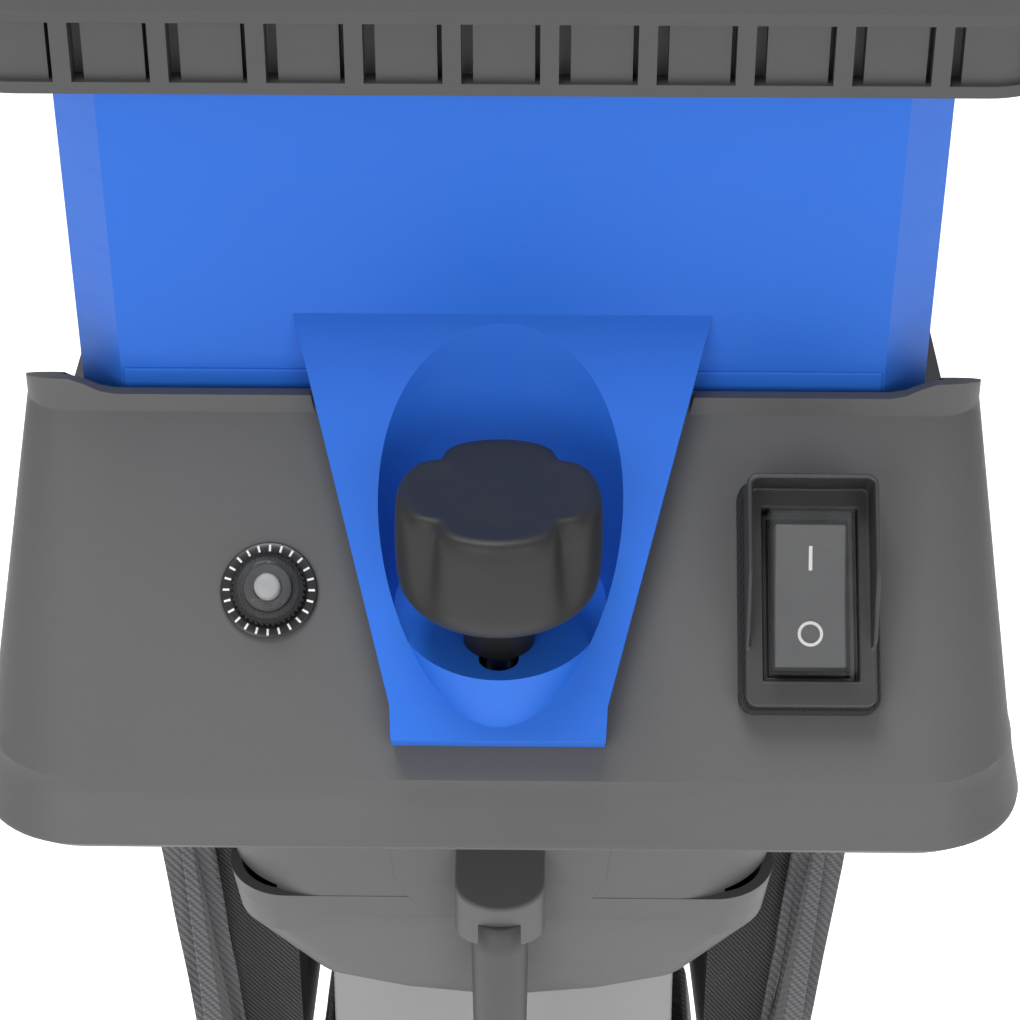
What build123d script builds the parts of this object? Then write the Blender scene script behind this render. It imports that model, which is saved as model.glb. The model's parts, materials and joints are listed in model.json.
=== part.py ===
from build123d import *
import math
import os

# Electric wood chipper on a tube stand, millimetres.
# Origin: floor level, middle of the stand. +X is the user's right, +Y is the rear, +Z is up.

# ---- driving dimensions ----
PANEL_Y = -115.0            # middle of the sloping control panel
PANEL_Z = 915.0
PANEL_TILT = 45.0           # degrees from horizontal
HOUSING_REAR = 112.0
HOUSING_BOTTOM = PANEL_Z - 68.0
DECK_TOP = PANEL_Z + 6.0
COLLAR_MIDDLE_TOP = PANEL_Z + 22.5
COLLAR_EAR_TOP = PANEL_Z + 26.5
SHOULDER_TOP = PANEL_Z - 30.0      # ledge along the sides, behind the ears
PLINTH_HALF = 113.5                 # half width of the raised seat under the hopper
WALL = 3.0

HOPPER_FRONT = PANEL_Y + 27.0
HOPPER_REAR = HOPPER_FRONT + 186.0
HOPPER_HALF = 112.0
HOPPER_BASE = DECK_TOP + 0.5
HOPPER_TOP = PANEL_Z + 115.0
RIM_BOTTOM = PANEL_Z + 112.0
RIM_TOP = PANEL_Z + 133.0
RIM_HALF = 135.0
RIM_FRONT = HOPPER_FRONT - 20.0
RIM_REAR = HOPPER_REAR + 20.0
RIB_PITCH = 23.0
RIB_DEPTH = 6.0

HINGE_Y = HOUSING_REAR + 9.0
HINGE_Z = PANEL_Z - 30.0
HINGE_X = 70.0
KNOB_Y = PANEL_Y - 32.0
CUP_FLOOR = PANEL_Z - 18.0

DISC_Y = 15.0
DISC_R = 85.0
GEAR_R = 39.0
PINION_R = 9.75
MOTOR_Y = DISC_Y + GEAR_R + PINION_R
BOWL_BOTTOM = PANEL_Z - 145.0

TUBE_R = 12.5
FOOT_HALF = 165.0
WHEEL_R = 75.0
WHEEL_X = 206.0
WHEEL_Y = 140.0
CORD_R = 4.75
GLAND_Y = PANEL_Y - 34.0

panel = Plane(
    origin=(0, PANEL_Y, PANEL_Z),
    x_dir=(1, 0, 0),
    z_dir=(0, -math.sin(math.radians(PANEL_TILT)), math.cos(math.radians(PANEL_TILT))),
)
parts = {}


def ring_section(z, half, front, rear, radius):
    """A rounded rectangle in plan at height z."""
    centre = (0, (front + rear) / 2, z)
    return Plane(centre) * RectangleRounded(2 * half, rear - front, radius)


def ring_loft(rows, rear):
    """A ruled solid through rounded rectangles: rows of (z, half width, front, radius)."""
    return loft([ring_section(z, half, front, rear, r) for z, half, front, r in rows], ruled=True)


def block(x0, x1, y0, y1, z0, z1):
    """An axis-aligned box between two corners."""
    return Pos((x0 + x1) / 2, (y0 + y1) / 2, (z0 + z1) / 2) * Box(x1 - x0, y1 - y0, z1 - z0)


def post(x, y, z0, z1, radius):
    """An upright cylinder."""
    return Pos(x, y, (z0 + z1) / 2) * Cylinder(radius, z1 - z0)


def rod_x(x0, x1, y, z, radius):
    """A cylinder along X."""
    return Pos((x0 + x1) / 2, y, z) * Rot(0, 90, 0) * Cylinder(radius, abs(x1 - x0))


def pipe(x, y, z0, z1, outer, inner):
    """An upright tube."""
    return post(x, y, z0, z1, outer) - post(x, y, z0 - 1, z1 + 1, inner)


# ---- upper housing: lip, sloping panel, deck and collar ----
def panel_front(z, inset=0.0):
    """Front of the panel at height z, moved inwards by inset."""
    return PANEL_Y + (z - PANEL_Z) + inset


outer_rows = [
    (HOUSING_BOTTOM, 131.0, PANEL_Y - 53.5, 26.0),
    (PANEL_Z - 65.0, 134.3, PANEL_Y - 56.3, 28.0),
    (PANEL_Z - 63.5, 134.5, PANEL_Y - 56.0, 28.0),
    (PANEL_Z - 54.0, 132.6, PANEL_Y - 49.4, 26.0),
    (PANEL_Z - 49.5, 132.0, PANEL_Y - 48.8, 26.0),
    (PANEL_Z - 47.5, 131.4, PANEL_Y - 47.0, 26.0),
    (PANEL_Z + 18.0, 124.6, PANEL_Y + 18.0, 12.0),
    (COLLAR_EAR_TOP, 124.4, PANEL_Y + 20.0, 9.0),
]
housing_outer = ring_loft(outer_rows, HOUSING_REAR)
inner_rows = [
    (HOUSING_BOTTOM - 1, 128.0, PANEL_Y - 50.3, 22.0),
    (PANEL_Z - 60.5, 128.0, PANEL_Y - 50.2, 22.0),
    (PANEL_Z - 54.0, 129.3, PANEL_Y - 45.8, 23.0),
    (PANEL_Z - 47.5, 128.2, PANEL_Y - 42.8, 23.0),
    (SHOULDER_TOP - 5, 126.8, panel_front(SHOULDER_TOP - 5, 4.5), 20.0),
]
plinth_rows = [
    (PANEL_Z - 50.0, PLINTH_HALF - WALL, panel_front(PANEL_Z - 50.0, 4.5), 20.0),
    (DECK_TOP - WALL, PLINTH_HALF - WALL, panel_front(DECK_TOP - WALL, 4.5), 14.0),
]
housing_inner = ring_loft(inner_rows, HOUSING_REAR - WALL) + ring_loft(plinth_rows, HOUSING_REAR - WALL)
CUP_ROWS = [(CUP_FLOOR, 27.0, 34.0, PANEL_Y - 15.0), (PANEL_Z + 45.0, 38.0, 38.5, PANEL_Y - 13.0)]


def cup_loft(grow, low, high):
    """The knob recess as an elliptical cone between two heights, grown sideways."""
    (z0, ax0, ay0, c0), (z1, ax1, ay1, c1) = CUP_ROWS
    made = []
    for z in (low, high):
        t = (z - z0) / (z1 - z0)
        rx, ry = ax0 + t * (ax1 - ax0) + grow, ay0 + t * (ay1 - ay0) + grow
        made.append(Plane((0, c0 + t * (c1 - c0), z)) * Ellipse(rx, ry))
    return loft(made, ruled=True)


well = cup_loft(3.8, CUP_FLOOR - 4.5, PANEL_Z + 60)
well += block(-30, 30, PANEL_Y - 15, HOPPER_FRONT + 4, CUP_FLOOR - 4.5, PANEL_Z + 60)
THROAT = (72.0, -28.0, 62.0)        # half width, front and rear of the feed throat
upper_housing = housing_outer - housing_inner
upper_housing -= block(-PLINTH_HALF, PLINTH_HALF, HOPPER_FRONT - 4.5, 140, DECK_TOP, 970)
EAR_CURVE = [(0, 22.5), (100, 22.5), (104, 23.2), (108, 25), (112, 26.3), (117, 26.5), (121, 26), (124, 24), (126, 20.5)]
ear_right = [(x, PANEL_Z + rise) for x, rise in EAR_CURVE] + [(140, PANEL_Z + 20.5), (140, 990), (0, 990)]
for side in (-1, 1):
    above_ear = make_face(Polyline(*[(side * x, z) for x, z in ear_right], close=True))
    upper_housing -= extrude(Plane.XZ * above_ear, amount=150, both=True)
    ledge = [(-92.3, 990), (-92.3, 942), (-8, SHOULDER_TOP), (130, SHOULDER_TOP), (130, 990)]
    above_ledge = extrude(Plane.YZ * make_face(Polyline(*ledge, close=True)), amount=30)
    upper_housing -= Pos(PLINTH_HALF if side > 0 else -PLINTH_HALF - 30, 0, 0) * above_ledge
upper_housing -= block(-THROAT[0], THROAT[0], THROAT[1], THROAT[2], DECK_TOP - 10, DECK_TOP + 1)
upper_housing -= well
insert_boss = post(0, KNOB_Y, 858, 882, 10.5) & housing_outer
upper_housing += insert_boss
upper_housing -= well
upper_housing -= post(0, KNOB_Y, 855, 900, 6.5)
for side in (-1, 1):
    for lug in (HINGE_X - 13.5, HINGE_X + 7.5):
        centre = side * (lug + 3)
        ear = block(centre - 3, centre + 3, HOUSING_REAR - 2, HINGE_Y, HINGE_Z - 6, HINGE_Z + 6)
        ear += rod_x(centre - 3, centre + 3, HINGE_Y, HINGE_Z, 6)
        upper_housing += ear - rod_x(centre - 4, centre + 4, HINGE_Y, HINGE_Z, 3.02)

# panel openings for the switch and the breaker
SWITCH_X = 78.0
SWITCH_UP = -23.0
BREAKER_X = -58.9
BREAKER_UP = -21.5


def on_panel(x, up, out, shape):
    """Places a shape made around Z on the panel: x across, up the slope, out of the face."""
    return panel * Pos(x, up, out) * shape


upper_housing -= on_panel(SWITCH_X, SWITCH_UP, 0, Box(24.4, 44.4, 20))
upper_housing -= on_panel(BREAKER_X, BREAKER_UP, 0, Cylinder(6.2, 20))
parts["upper_housing"] = upper_housing

# ---- base plate closing the upper housing ----
PLATE_Z = HOUSING_BOTTOM + 0.5
PLATE_T = 6.0
CHUTE_HALF = 50.0
CHUTE_FRONT = PANEL_Y + 17.0
CHUTE_REAR = CHUTE_FRONT + 56.0
base_plate = ring_loft(
    [(PLATE_Z, 127.4, PANEL_Y - 49.5, 23.0), (PLATE_Z + PLATE_T, 127.4, PANEL_Y - 49.5, 23.0)],
    HOUSING_REAR - WALL - 0.4,
)
base_plate -= block(
    -CHUTE_HALF - 0.5, CHUTE_HALF + 0.5, CHUTE_FRONT - 0.5, CHUTE_REAR + 0.5, PLATE_Z - 1, PLATE_Z + 9
)
base_plate -= post(0, DISC_Y, PLATE_Z - 1, PLATE_Z + 9, 30.5)
PLATE_SCREWS = [(sx * 112, y) for sx in (-1, 1) for y in (-100, 0, 80)]
for x, y in PLATE_SCREWS:
    base_plate -= post(x, y, PLATE_Z - 1, PLATE_Z + 9, 2.1)
parts["base_plate"] = base_plate
screws = []
for x, y in PLATE_SCREWS:
    screws.append(post(x, y, PLATE_Z - 3, PLATE_Z, 4) + post(x, y, PLATE_Z - 1, PLATE_Z + 14, 2))
parts["base_screws"] = Compound(screws)

# ---- motor housing: the bowl under the panel ----
bowl_rows = [
    (PLATE_Z - 0.2, 78.0, PANEL_Y - 22.0, 26.0),
    (PANEL_Z - 120.0, 74.0, PANEL_Y - 21.0, 26.0),
    (PANEL_Z - 132.0, 62.0, PANEL_Y - 10.0, 24.0),
    (BOWL_BOTTOM, 56.0, PANEL_Y + 6.0, 20.0),
]
chin_rows = [
    (PANEL_Z - 112.0, 75.2, PANEL_Y - 21.3, 17.0),
    (PANEL_Z - 125.0, 73.0, PANEL_Y - 20.5, 16.0),
    (PANEL_Z - 145.5, 55.0, PANEL_Y - 16.0, 14.0),
    (PANEL_Z - 153.0, 36.0, PANEL_Y - 12.5, 12.0),
    (PANEL_Z - 157.5, 16.0, PANEL_Y - 10.0, 11.0),
]
CHIN_REAR = CHUTE_FRONT - 2.5
bowl_outer = ring_loft(bowl_rows, 104.0) + ring_loft(chin_rows, CHIN_REAR)
bowl_inner = ring_loft(
    [
        (PLATE_Z + 1, 75.0, PANEL_Y - 19.0, 23.0),
        (PANEL_Z - 119.0, 71.0, PANEL_Y - 18.0, 23.0),
        (PANEL_Z - 130.5, 59.0, PANEL_Y - 6.5, 21.0),
        (BOWL_BOTTOM + WALL, 53.5, PANEL_Y + 9.5, 17.0),
    ],
    101.0,
)
bowl_inner += ring_loft(
    [
        (PANEL_Z - 111.0, 72.2, PANEL_Y - 18.3, 14.0),
        (PANEL_Z - 124.0, 70.0, PANEL_Y - 17.5, 13.0),
        (PANEL_Z - 142.5, 52.0, PANEL_Y - 13.0, 11.0),
        (PANEL_Z - 149.5, 34.0, PANEL_Y - 9.5, 9.5),
        (PANEL_Z - 154.0, 14.0, PANEL_Y - 7.0, 8.0),
    ],
    CHIN_REAR - WALL,
)
motor_housing = bowl_outer - bowl_inner
motor_housing -= block(
    -CHUTE_HALF - 0.5, CHUTE_HALF + 0.5, CHUTE_FRONT - 0.5, CHUTE_REAR + 0.5, BOWL_BOTTOM - 20, BOWL_BOTTOM + 30
)
motor_housing -= post(0, MOTOR_Y - 7, BOWL_BOTTOM - 20, BOWL_BOTTOM + 30, 38.2)
GLAND_TOP = PANEL_Z - 95.0
motor_housing -= Pos(0, GLAND_Y, GLAND_TOP - 12) * Rot(90, 0, 0) * Cylinder(5.2, 60)
parts["motor_housing"] = motor_housing

# ---- discharge chute ----
CHUTE_BOTTOM = 618.0
chute_outer = loft(
    [
        Plane((0, (CHUTE_FRONT + CHUTE_REAR) / 2, z)) * Rectangle(2 * CHUTE_HALF, CHUTE_REAR - CHUTE_FRONT)
        for z in (PLATE_Z + PLATE_T, BOWL_BOTTOM - 5)
    ],
    ruled=True,
)
chute_outer += loft(
    [
        Plane((0, (CHUTE_FRONT + CHUTE_REAR) / 2, BOWL_BOTTOM - 5)) * Rectangle(100, 56),
        Plane((0, -62, CHUTE_BOTTOM)) * Rectangle(104, 58),
    ],
    ruled=True,
)
chute_inner = loft(
    [
        Plane((0, (CHUTE_FRONT + CHUTE_REAR) / 2, z)) * Rectangle(95, 51)
        for z in (PLATE_Z + PLATE_T + 1, BOWL_BOTTOM - 5)
    ],
    ruled=True,
)
chute_inner += loft(
    [
        Plane((0, (CHUTE_FRONT + CHUTE_REAR) / 2, BOWL_BOTTOM - 5)) * Rectangle(95, 51),
        Plane((0, -62, CHUTE_BOTTOM - 1)) * Rectangle(99, 53),
    ],
    ruled=True,
)
parts["discharge_chute"] = chute_outer - chute_inner

# ---- hopper: blue body, knob tongue and hinge arms ----


def chamfered_plan(z, half, front, rear):
    """Hopper outline in plan: a box with cut corners, deeper at the front."""
    points = [
        (-(half - 13), front),
        (half - 13, front),
        (half, front + 15),
        (half, rear - 20),
        (half - 20, rear),
        (-(half - 20), rear),
        (-half, rear - 20),
        (-half, front + 15),
    ]
    return Plane((0, 0, z)) * make_face(Polyline(*points, close=True))


hopper_outer = loft(
    [
        chamfered_plan(HOPPER_BASE, HOPPER_HALF, HOPPER_FRONT, HOPPER_REAR),
        chamfered_plan(HOPPER_TOP, HOPPER_HALF + 1, HOPPER_FRONT - 0.5, HOPPER_REAR + 0.5),
    ],
    ruled=True,
)
hopper_inner = loft(
    [
        chamfered_plan(HOPPER_BASE - 1, HOPPER_HALF - WALL, HOPPER_FRONT + WALL, HOPPER_REAR - WALL),
        chamfered_plan(HOPPER_TOP + 1, HOPPER_HALF + 1 - WALL, HOPPER_FRONT + WALL - 0.5, HOPPER_REAR + 0.5 - WALL),
    ],
    ruled=True,
)
TONGUE_OUT = 11.0


def tongue_prism(inset, low, high):
    """Trapezoid standing on the panel between two distances out from it."""
    outline = [(55.0, 53.3), (27.2, -52.0), (26.7, -61.0)]
    right = [(x - inset, up if up > -60 else up + inset) for x, up in outline]
    right[0] = (right[0][0] + 2.6, 63.3)
    face = Polyline(*right, *[(-x, up) for x, up in reversed(right)], close=True)
    return extrude(panel * Pos(0, 0, low) * make_face(face), amount=high - low, dir=panel.z_dir)


parts["upper_housing"] -= tongue_prism(-0.8, 0.05, 40)
tongue = tongue_prism(0, 0.7, TONGUE_OUT) - tongue_prism(2.5, -1, TONGUE_OUT - 3)
before_hopper = block(-130, 130, -260, HOPPER_FRONT + 1, 800, 1000)
tongue &= before_hopper
cup_outer = cup_loft(2.5, CUP_FLOOR - WALL, PANEL_Z + 44) & tongue_prism(0, -90, TONGUE_OUT)
boss_wall = cup_loft(0, CUP_FLOOR - 24, CUP_FLOOR) & tongue_prism(0, TONGUE_OUT - 3, 40)
cup_inner = cup_loft(0, CUP_FLOOR, PANEL_Z + 60)
slot = extrude(
    Plane((0, KNOB_Y - 3, CUP_FLOOR - 16)) * Rot(0, 0, 90) * SlotOverall(20, 10), amount=20
)
hopper_body = hopper_outer + tongue + (cup_outer & before_hopper) + boss_wall
hopper_body -= hopper_inner
hopper_body -= cup_inner
hopper_body -= slot
for side in (-1, 1):
    x0, x1 = side * HINGE_X - 6.5, side * HINGE_X + 6.5
    arm = block(x0, x1, HOPPER_REAR - 1, HINGE_Y + 7, DECK_TOP + 8, DECK_TOP + 24)
    arm += block(x0, x1, HOUSING_REAR + 1.5, HINGE_Y + 7, HINGE_Z, DECK_TOP + 24)
    arm += rod_x(x0, x1, HINGE_Y, HINGE_Z, 7)
    hopper_body += arm - rod_x(x0 - 1, x1 + 1, HINGE_Y, HINGE_Z, 3.06)
parts["hopper_body"] = hopper_body
parts["hinge_pins"] = Compound(
    [rod_x(s * HINGE_X - 14, s * HINGE_X + 14, HINGE_Y, HINGE_Z, 3.0) for s in (-1, 1)]
)

# ---- hopper rim: ribbed skirt, feed funnel and neck ----
RIM_MID = (RIM_FRONT + RIM_REAR) / 2
RIM_DEPTH = RIM_REAR - RIM_FRONT


def rim_section(z, dx, dy, radius):
    """A rounded rectangle at height z, given by its full width and depth."""
    return Plane((0, RIM_MID, z)) * RectangleRounded(dx, dy, radius)


def rim_prism(z0, z1, inset, radius):
    """A rounded block between two heights, inset from the rim's edge."""
    return extrude(rim_section(z0, 2 * (RIM_HALF - inset), RIM_DEPTH - 2 * inset, radius), amount=z1 - z0)


rim = rim_prism(RIM_BOTTOM, RIM_TOP, 0, 20)
RIM_RING = rim_prism(RIM_BOTTOM + WALL, RIM_TOP - WALL, -5, 25)
groove = RIM_RING - rim_prism(RIM_BOTTOM, RIM_TOP, 1.6, 18)
deep = RIM_RING - rim_prism(RIM_BOTTOM, RIM_TOP, RIB_DEPTH, 14)
slots = None
for n in range(-6, 6):
    x = (n + 0.5) * RIB_PITCH
    groove -= block(x - 2.2, x + 2.2, RIM_FRONT - 9, RIM_REAR + 9, RIM_BOTTOM, RIM_TOP)
    for low, high in ((-3.4, -2.2), (2.2, 5.0)):
        slot_block = block(x + low, x + high, RIM_FRONT - 9, RIM_REAR + 9, RIM_BOTTOM, RIM_TOP)
        if abs(x) < RIM_HALF - 22:
            slots = slot_block if slots is None else slots + slot_block
for n in range(-4, 5):
    y = RIM_MID + n * RIB_PITCH
    groove -= block(-RIM_HALF - 9, RIM_HALF + 9, y - 2.2, y + 2.2, RIM_BOTTOM, RIM_TOP)
    for low, high in ((-3.4, -2.2), (2.2, 5.0)):
        slots += block(-RIM_HALF - 9, RIM_HALF + 9, y + low, y + high, RIM_BOTTOM, RIM_TOP)
groove += deep & slots
rim -= groove
rim -= rim_prism(RIM_BOTTOM + WALL, RIM_TOP - 3, RIB_DEPTH + WALL, 11)
rim -= rim_prism(RIM_BOTTOM - 1, RIM_TOP + 1, 22, 8)
rim -= rim_prism(RIM_TOP - 4, RIM_TOP + 1, RIB_DEPTH + WALL, 11)
rim -= extrude(chamfered_plan(RIM_BOTTOM - 1, HOPPER_HALF + 1.4, HOPPER_FRONT - 0.9, HOPPER_REAR + 0.9), amount=9)
FUNNEL = [(RIM_TOP, 254.0, 210.0, 12.0), (PANEL_Z + 85, 140.0, 96.0, 10.0), (PANEL_Z + 40, 134.0, 82.0, 10.0)]
funnel = loft([rim_section(*row) for row in FUNNEL], ruled=True)
funnel -= loft(
    [
        rim_section(z + (0.5 if n == 0 else -1 if n == 2 else 0), dx - 6, dy - 6, r - 3)
        for n, (z, dx, dy, r) in enumerate(FUNNEL)
    ],
    ruled=True,
)
parts["hopper_rim"] = rim + funnel
flap = extrude(rim_section(PANEL_Z + 58, 127.5, 76.0, 7), amount=3)
flap -= block(-1.5, 1.5, RIM_MID - 32, RIM_MID + 32, 950, 990)
flap -= block(-58, 58, RIM_MID - 1.5, RIM_MID + 1.5, 950, 990)
parts["feed_flap"] = flap

# ---- lock knob, its screw, washer and insert ----
KNOB_BOTTOM = PANEL_Z - 3.0
KNOB_FULL = PANEL_Z + 2.5            # height where the knob reaches its full radius
GROOVES = 4
KNOB_TOP = PANEL_Z + 26.8
KNOB_R = 25.5
SCREW_TIP = 864.0
knob = post(0, KNOB_Y, KNOB_FULL, KNOB_TOP, KNOB_R)
knob += loft([Plane((0, KNOB_Y, KNOB_BOTTOM)) * Circle(22), Plane((0, KNOB_Y, KNOB_FULL)) * Circle(KNOB_R)])
for n in range(GROOVES):
    a = math.radians(45 + 90 * n)
    knob -= post(31 * math.cos(a), KNOB_Y + 31 * math.sin(a), KNOB_BOTTOM - 1, KNOB_TOP + 1, 7.5)
knob += post(0, KNOB_Y, CUP_FLOOR + 2.4, KNOB_BOTTOM, 9)
knob -= post(0, KNOB_Y, CUP_FLOOR, KNOB_BOTTOM + 18, 4.0)
parts["lock_knob"] = knob
parts["lock_screw"] = post(0, KNOB_Y, SCREW_TIP, KNOB_BOTTOM + 18, 4.0)
parts["knob_washer"] = pipe(0, KNOB_Y, CUP_FLOOR + 0.2, CUP_FLOOR + 2.2, 8.0, 4.3)
parts["lock_insert"] = pipe(0, KNOB_Y, 860, 870, 6.5, 5.2)

# ---- rocker switch ----
GASKET_T = 6.0
gasket = extrude(RectangleRounded(35.5, 59, 4), amount=GASKET_T / 2, both=True) - Box(25, 45, 20)
parts["switch_gasket"] = on_panel(SWITCH_X, SWITCH_UP, GASKET_T / 2 + 0.2, gasket)
bezel = Pos(0, 0, GASKET_T + 0.2) * extrude(RectangleRounded(33, 57, 3), amount=3)
hood = Pos(0, 0, GASKET_T + 3.2) * extrude(RectangleRounded(33, 57, 3) - RectangleRounded(30.4, 54.4, 1.8), amount=12)
hood_side = Polyline((-14, 9.0), (-11.5, 12.6), (3, GASKET_T + 15.2), (30, GASKET_T + 15.2), (30, 9.0), close=True)
hood &= extrude(Plane.YZ * make_face(hood_side), amount=20, both=True)
bezel = bezel + hood - Pos(0, 0, GASKET_T) * Box(24, 44, 40)
parts["switch_bezel"] = on_panel(SWITCH_X, SWITCH_UP, 0, bezel)
switch_body = Pos(0, 0, -11) * Box(23.4, 43.4, 28)
switch_body -= Pos(0, 0, 1) * Box(20.5, 40.5, 12)
parts["switch_body"] = on_panel(SWITCH_X, SWITCH_UP, 0, switch_body)
ROCKER_UP = 6.0                       # pivot height out of the panel
ROCKER_ANGLE = 9.0
rocker = extrude(
    Plane.YZ * make_face(Polyline((-18, 2), (-15, -3), (15, -3), (18, 2), (18, 4.5), (0, 2.6), (-18, 4.5), close=True)),
    amount=9,
    both=True,
)
rocker = Pos(0, 0, ROCKER_UP) * Rot(ROCKER_ANGLE, 0, 0) * rocker
parts["switch_rocker"] = on_panel(SWITCH_X, SWITCH_UP, 0, rocker)
cover = Box(21.4, 41.4, 8.0) - Pos(0, 0, -0.8) * Box(19.8, 39.8, 8.0)
parts["switch_cover"] = on_panel(SWITCH_X, SWITCH_UP, GASKET_T + 7.4, cover)

# ---- circuit breaker with reset button ----


def turned(low, high, outer, inner=0.0):
    """A ring or disc around the breaker's axis, between two distances out of the panel."""
    made = Pos(0, 0, (low + high) / 2) * Cylinder(outer, high - low)
    if inner:
        made -= Pos(0, 0, (low + high) / 2) * Cylinder(inner, high - low + 2)
    return on_panel(BREAKER_X, BREAKER_UP, 0, made)


breaker_body = on_panel(BREAKER_X, BREAKER_UP, -17, Box(14, 30, 26)) + turned(-5, 4.5, 6.0)
parts["breaker_body"] = breaker_body - turned(-9, 6, 3.6)
parts["breaker_ring"] = turned(0.3, 1.1, 12.4, 6.2)
parts["breaker_nut"] = turned(1.2, 3.6, 9.5, 6.2)
parts["reset_button"] = turned(-5, 7.5, 3.4)
parts["reset_cap"] = turned(3.7, 12.0, 7.6, 6.6) + turned(11.2, 12.0, 7.6)

# ---- cutting disc, blades and spindle ----
disc = post(0, DISC_Y, 893, 901, DISC_R) - post(0, DISC_Y, 890, 905, 10.0)
BOLTS = []
for turn in (0, 180):
    place = Pos(0, DISC_Y, 0) * Rot(0, 0, turn)
    disc -= place * block(-12, -4, 24, 76, 890, 905)
    BOLTS += [place * post(4, y, 895, 907.5, 3.5) for y in (36, 64)]
parts["blade_disc"] = disc
blades = [
    Pos(0, DISC_Y, 0) * Rot(0, 0, turn) * (block(-6, 14, 24, 76, 901.2, 905) - post(4, 36, 900, 907, 3.6) - post(4, 64, 900, 907, 3.6))
    for turn in (0, 180)
]
parts["blades"] = Compound(blades)
for bolt in BOLTS:
    parts["blade_disc"] -= bolt
parts["blade_bolts"] = Compound([b for b in BOLTS])
parts["spindle"] = post(0, DISC_Y, 808, 905, 10.0) + post(0, DISC_Y, 901.1, 910, 15)
carrier = post(0, DISC_Y, 834, 882, 30) + post(0, DISC_Y, PLATE_Z + PLATE_T + 0.2, PLATE_Z + PLATE_T + 5, 44)
carrier -= post(0, DISC_Y, 838, 890, 23.5) + post(0, DISC_Y, 830, 890, 19)
parts["spindle_carrier"] = carrier
parts["spindle_bearings"] = Compound(
    [pipe(0, DISC_Y, z, z + 14, 23.45, 10.05) for z in (838.2, 866)]
)


def toothed(y, z0, z1, pitch_r, teeth, bore, start):
    """A straight-toothed gear: a round body with tapered teeth around it."""
    root, tip = pitch_r - 1.7, pitch_r + 1.2
    outline = []
    for n in range(teeth):
        for part_turn, radius in ((-0.32, root), (-0.13, tip), (0.13, tip), (0.32, root)):
            a = 2 * math.pi * (n + part_turn + start) / teeth
            outline.append((radius * math.cos(a), radius * math.sin(a)))
    face = make_face(Polyline(*outline, close=True))
    gear = extrude(Plane((0, y, z0)) * face, amount=z1 - z0)
    return gear - post(0, y, z0 - 1, z1 + 1, bore)


GEAR_TEETH, PINION_TEETH = 52, 13
parts["drive_gear"] = toothed(DISC_Y, 812, 824, GEAR_R, GEAR_TEETH, 10.0, 0.0)
parts["pinion"] = toothed(MOTOR_Y, 810, 826, PINION_R, PINION_TEETH, 4.0, 0.25)

# ---- motor ----
parts["motor_shaft"] = post(0, MOTOR_Y, 684, 828, 4.0)
parts["rotor"] = pipe(0, MOTOR_Y, 702, 762, 21.0, 4.0)
parts["commutator"] = pipe(0, MOTOR_Y, 690.5, 701, 12.0, 4.0)
stator = pipe(0, MOTOR_Y, 704, 760, 28.2, 22.0)
parts["stator"] = stator
parts["motor_fan"] = pipe(0, MOTOR_Y, 786, 794, 27.0, 4.0)
motor_cover = post(0, MOTOR_Y - 7, 676, BOWL_BOTTOM + 9, 38.0) - post(0, MOTOR_Y - 7, 679, BOWL_BOTTOM + 12, 35.5)
for n in range(-3, 4):
    motor_cover -= block(n * 9 - 2, n * 9 + 2, 70, 110, 690, 740)
motor_cover += pipe(0, MOTOR_Y, 678, 690, 9.0, 4.1)
motor_cover -= post(0, MOTOR_Y, 677.9, 690, 4.1)
parts["motor_cover"] = motor_cover
bridge = block(-34, 34, MOTOR_Y - 10, MOTOR_Y + 10, 770, 778) & post(0, MOTOR_Y - 7, 760, 790, 35.4)
parts["bearing_bridge"] = bridge - post(0, MOTOR_Y, 760, 790, 4.1)

# ---- supply lead: gland, bend relief, lead and plug ----
GLAND_BOTTOM = PANEL_Z - 116.0
RELIEF_BOTTOM = GLAND_BOTTOM - 42.0
gland = post(0, GLAND_Y, GLAND_BOTTOM, GLAND_TOP, 12.0)
gland += block(-9, 9, GLAND_Y, PANEL_Y - 22.2, GLAND_BOTTOM + 3, GLAND_TOP - 2)
gland -= post(0, GLAND_Y, GLAND_BOTTOM - 1, GLAND_BOTTOM + 10, 7.7)
parts["cord_gland"] = gland
relief = Pos(0, GLAND_Y, (GLAND_BOTTOM + 10 + RELIEF_BOTTOM) / 2) * Cone(
    5.8, 7.7, GLAND_BOTTOM + 10 - RELIEF_BOTTOM
)
parts["bend_relief"] = relief - post(0, GLAND_Y, RELIEF_BOTTOM - 1, GLAND_BOTTOM + 11, CORD_R + 0.4)
CORD_ROUTE = [
    (0, GLAND_Y, GLAND_BOTTOM + 8),
    (0, GLAND_Y, GLAND_BOTTOM - 56),
    (3, GLAND_Y - 3, GLAND_BOTTOM - 124),
    (6, GLAND_Y - 2, GLAND_BOTTOM - 186),
    (4, GLAND_Y + 2, GLAND_BOTTOM - 246),
    (-1, GLAND_Y + 3, GLAND_BOTTOM - 304),
]


def route_radii(points):
    """Arc radius at each inner point: 0.45 of the shorter run over the tangent of half the turn."""
    radii = []
    for a, b, c in zip(points, points[1:], points[2:]):
        first, second = Vector(*b) - Vector(*a), Vector(*c) - Vector(*b)
        half_turn = math.radians(first.get_angle(second)) / 2
        radii.append(0.45 * min(first.length, second.length) / math.tan(half_turn))
    return radii


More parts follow.
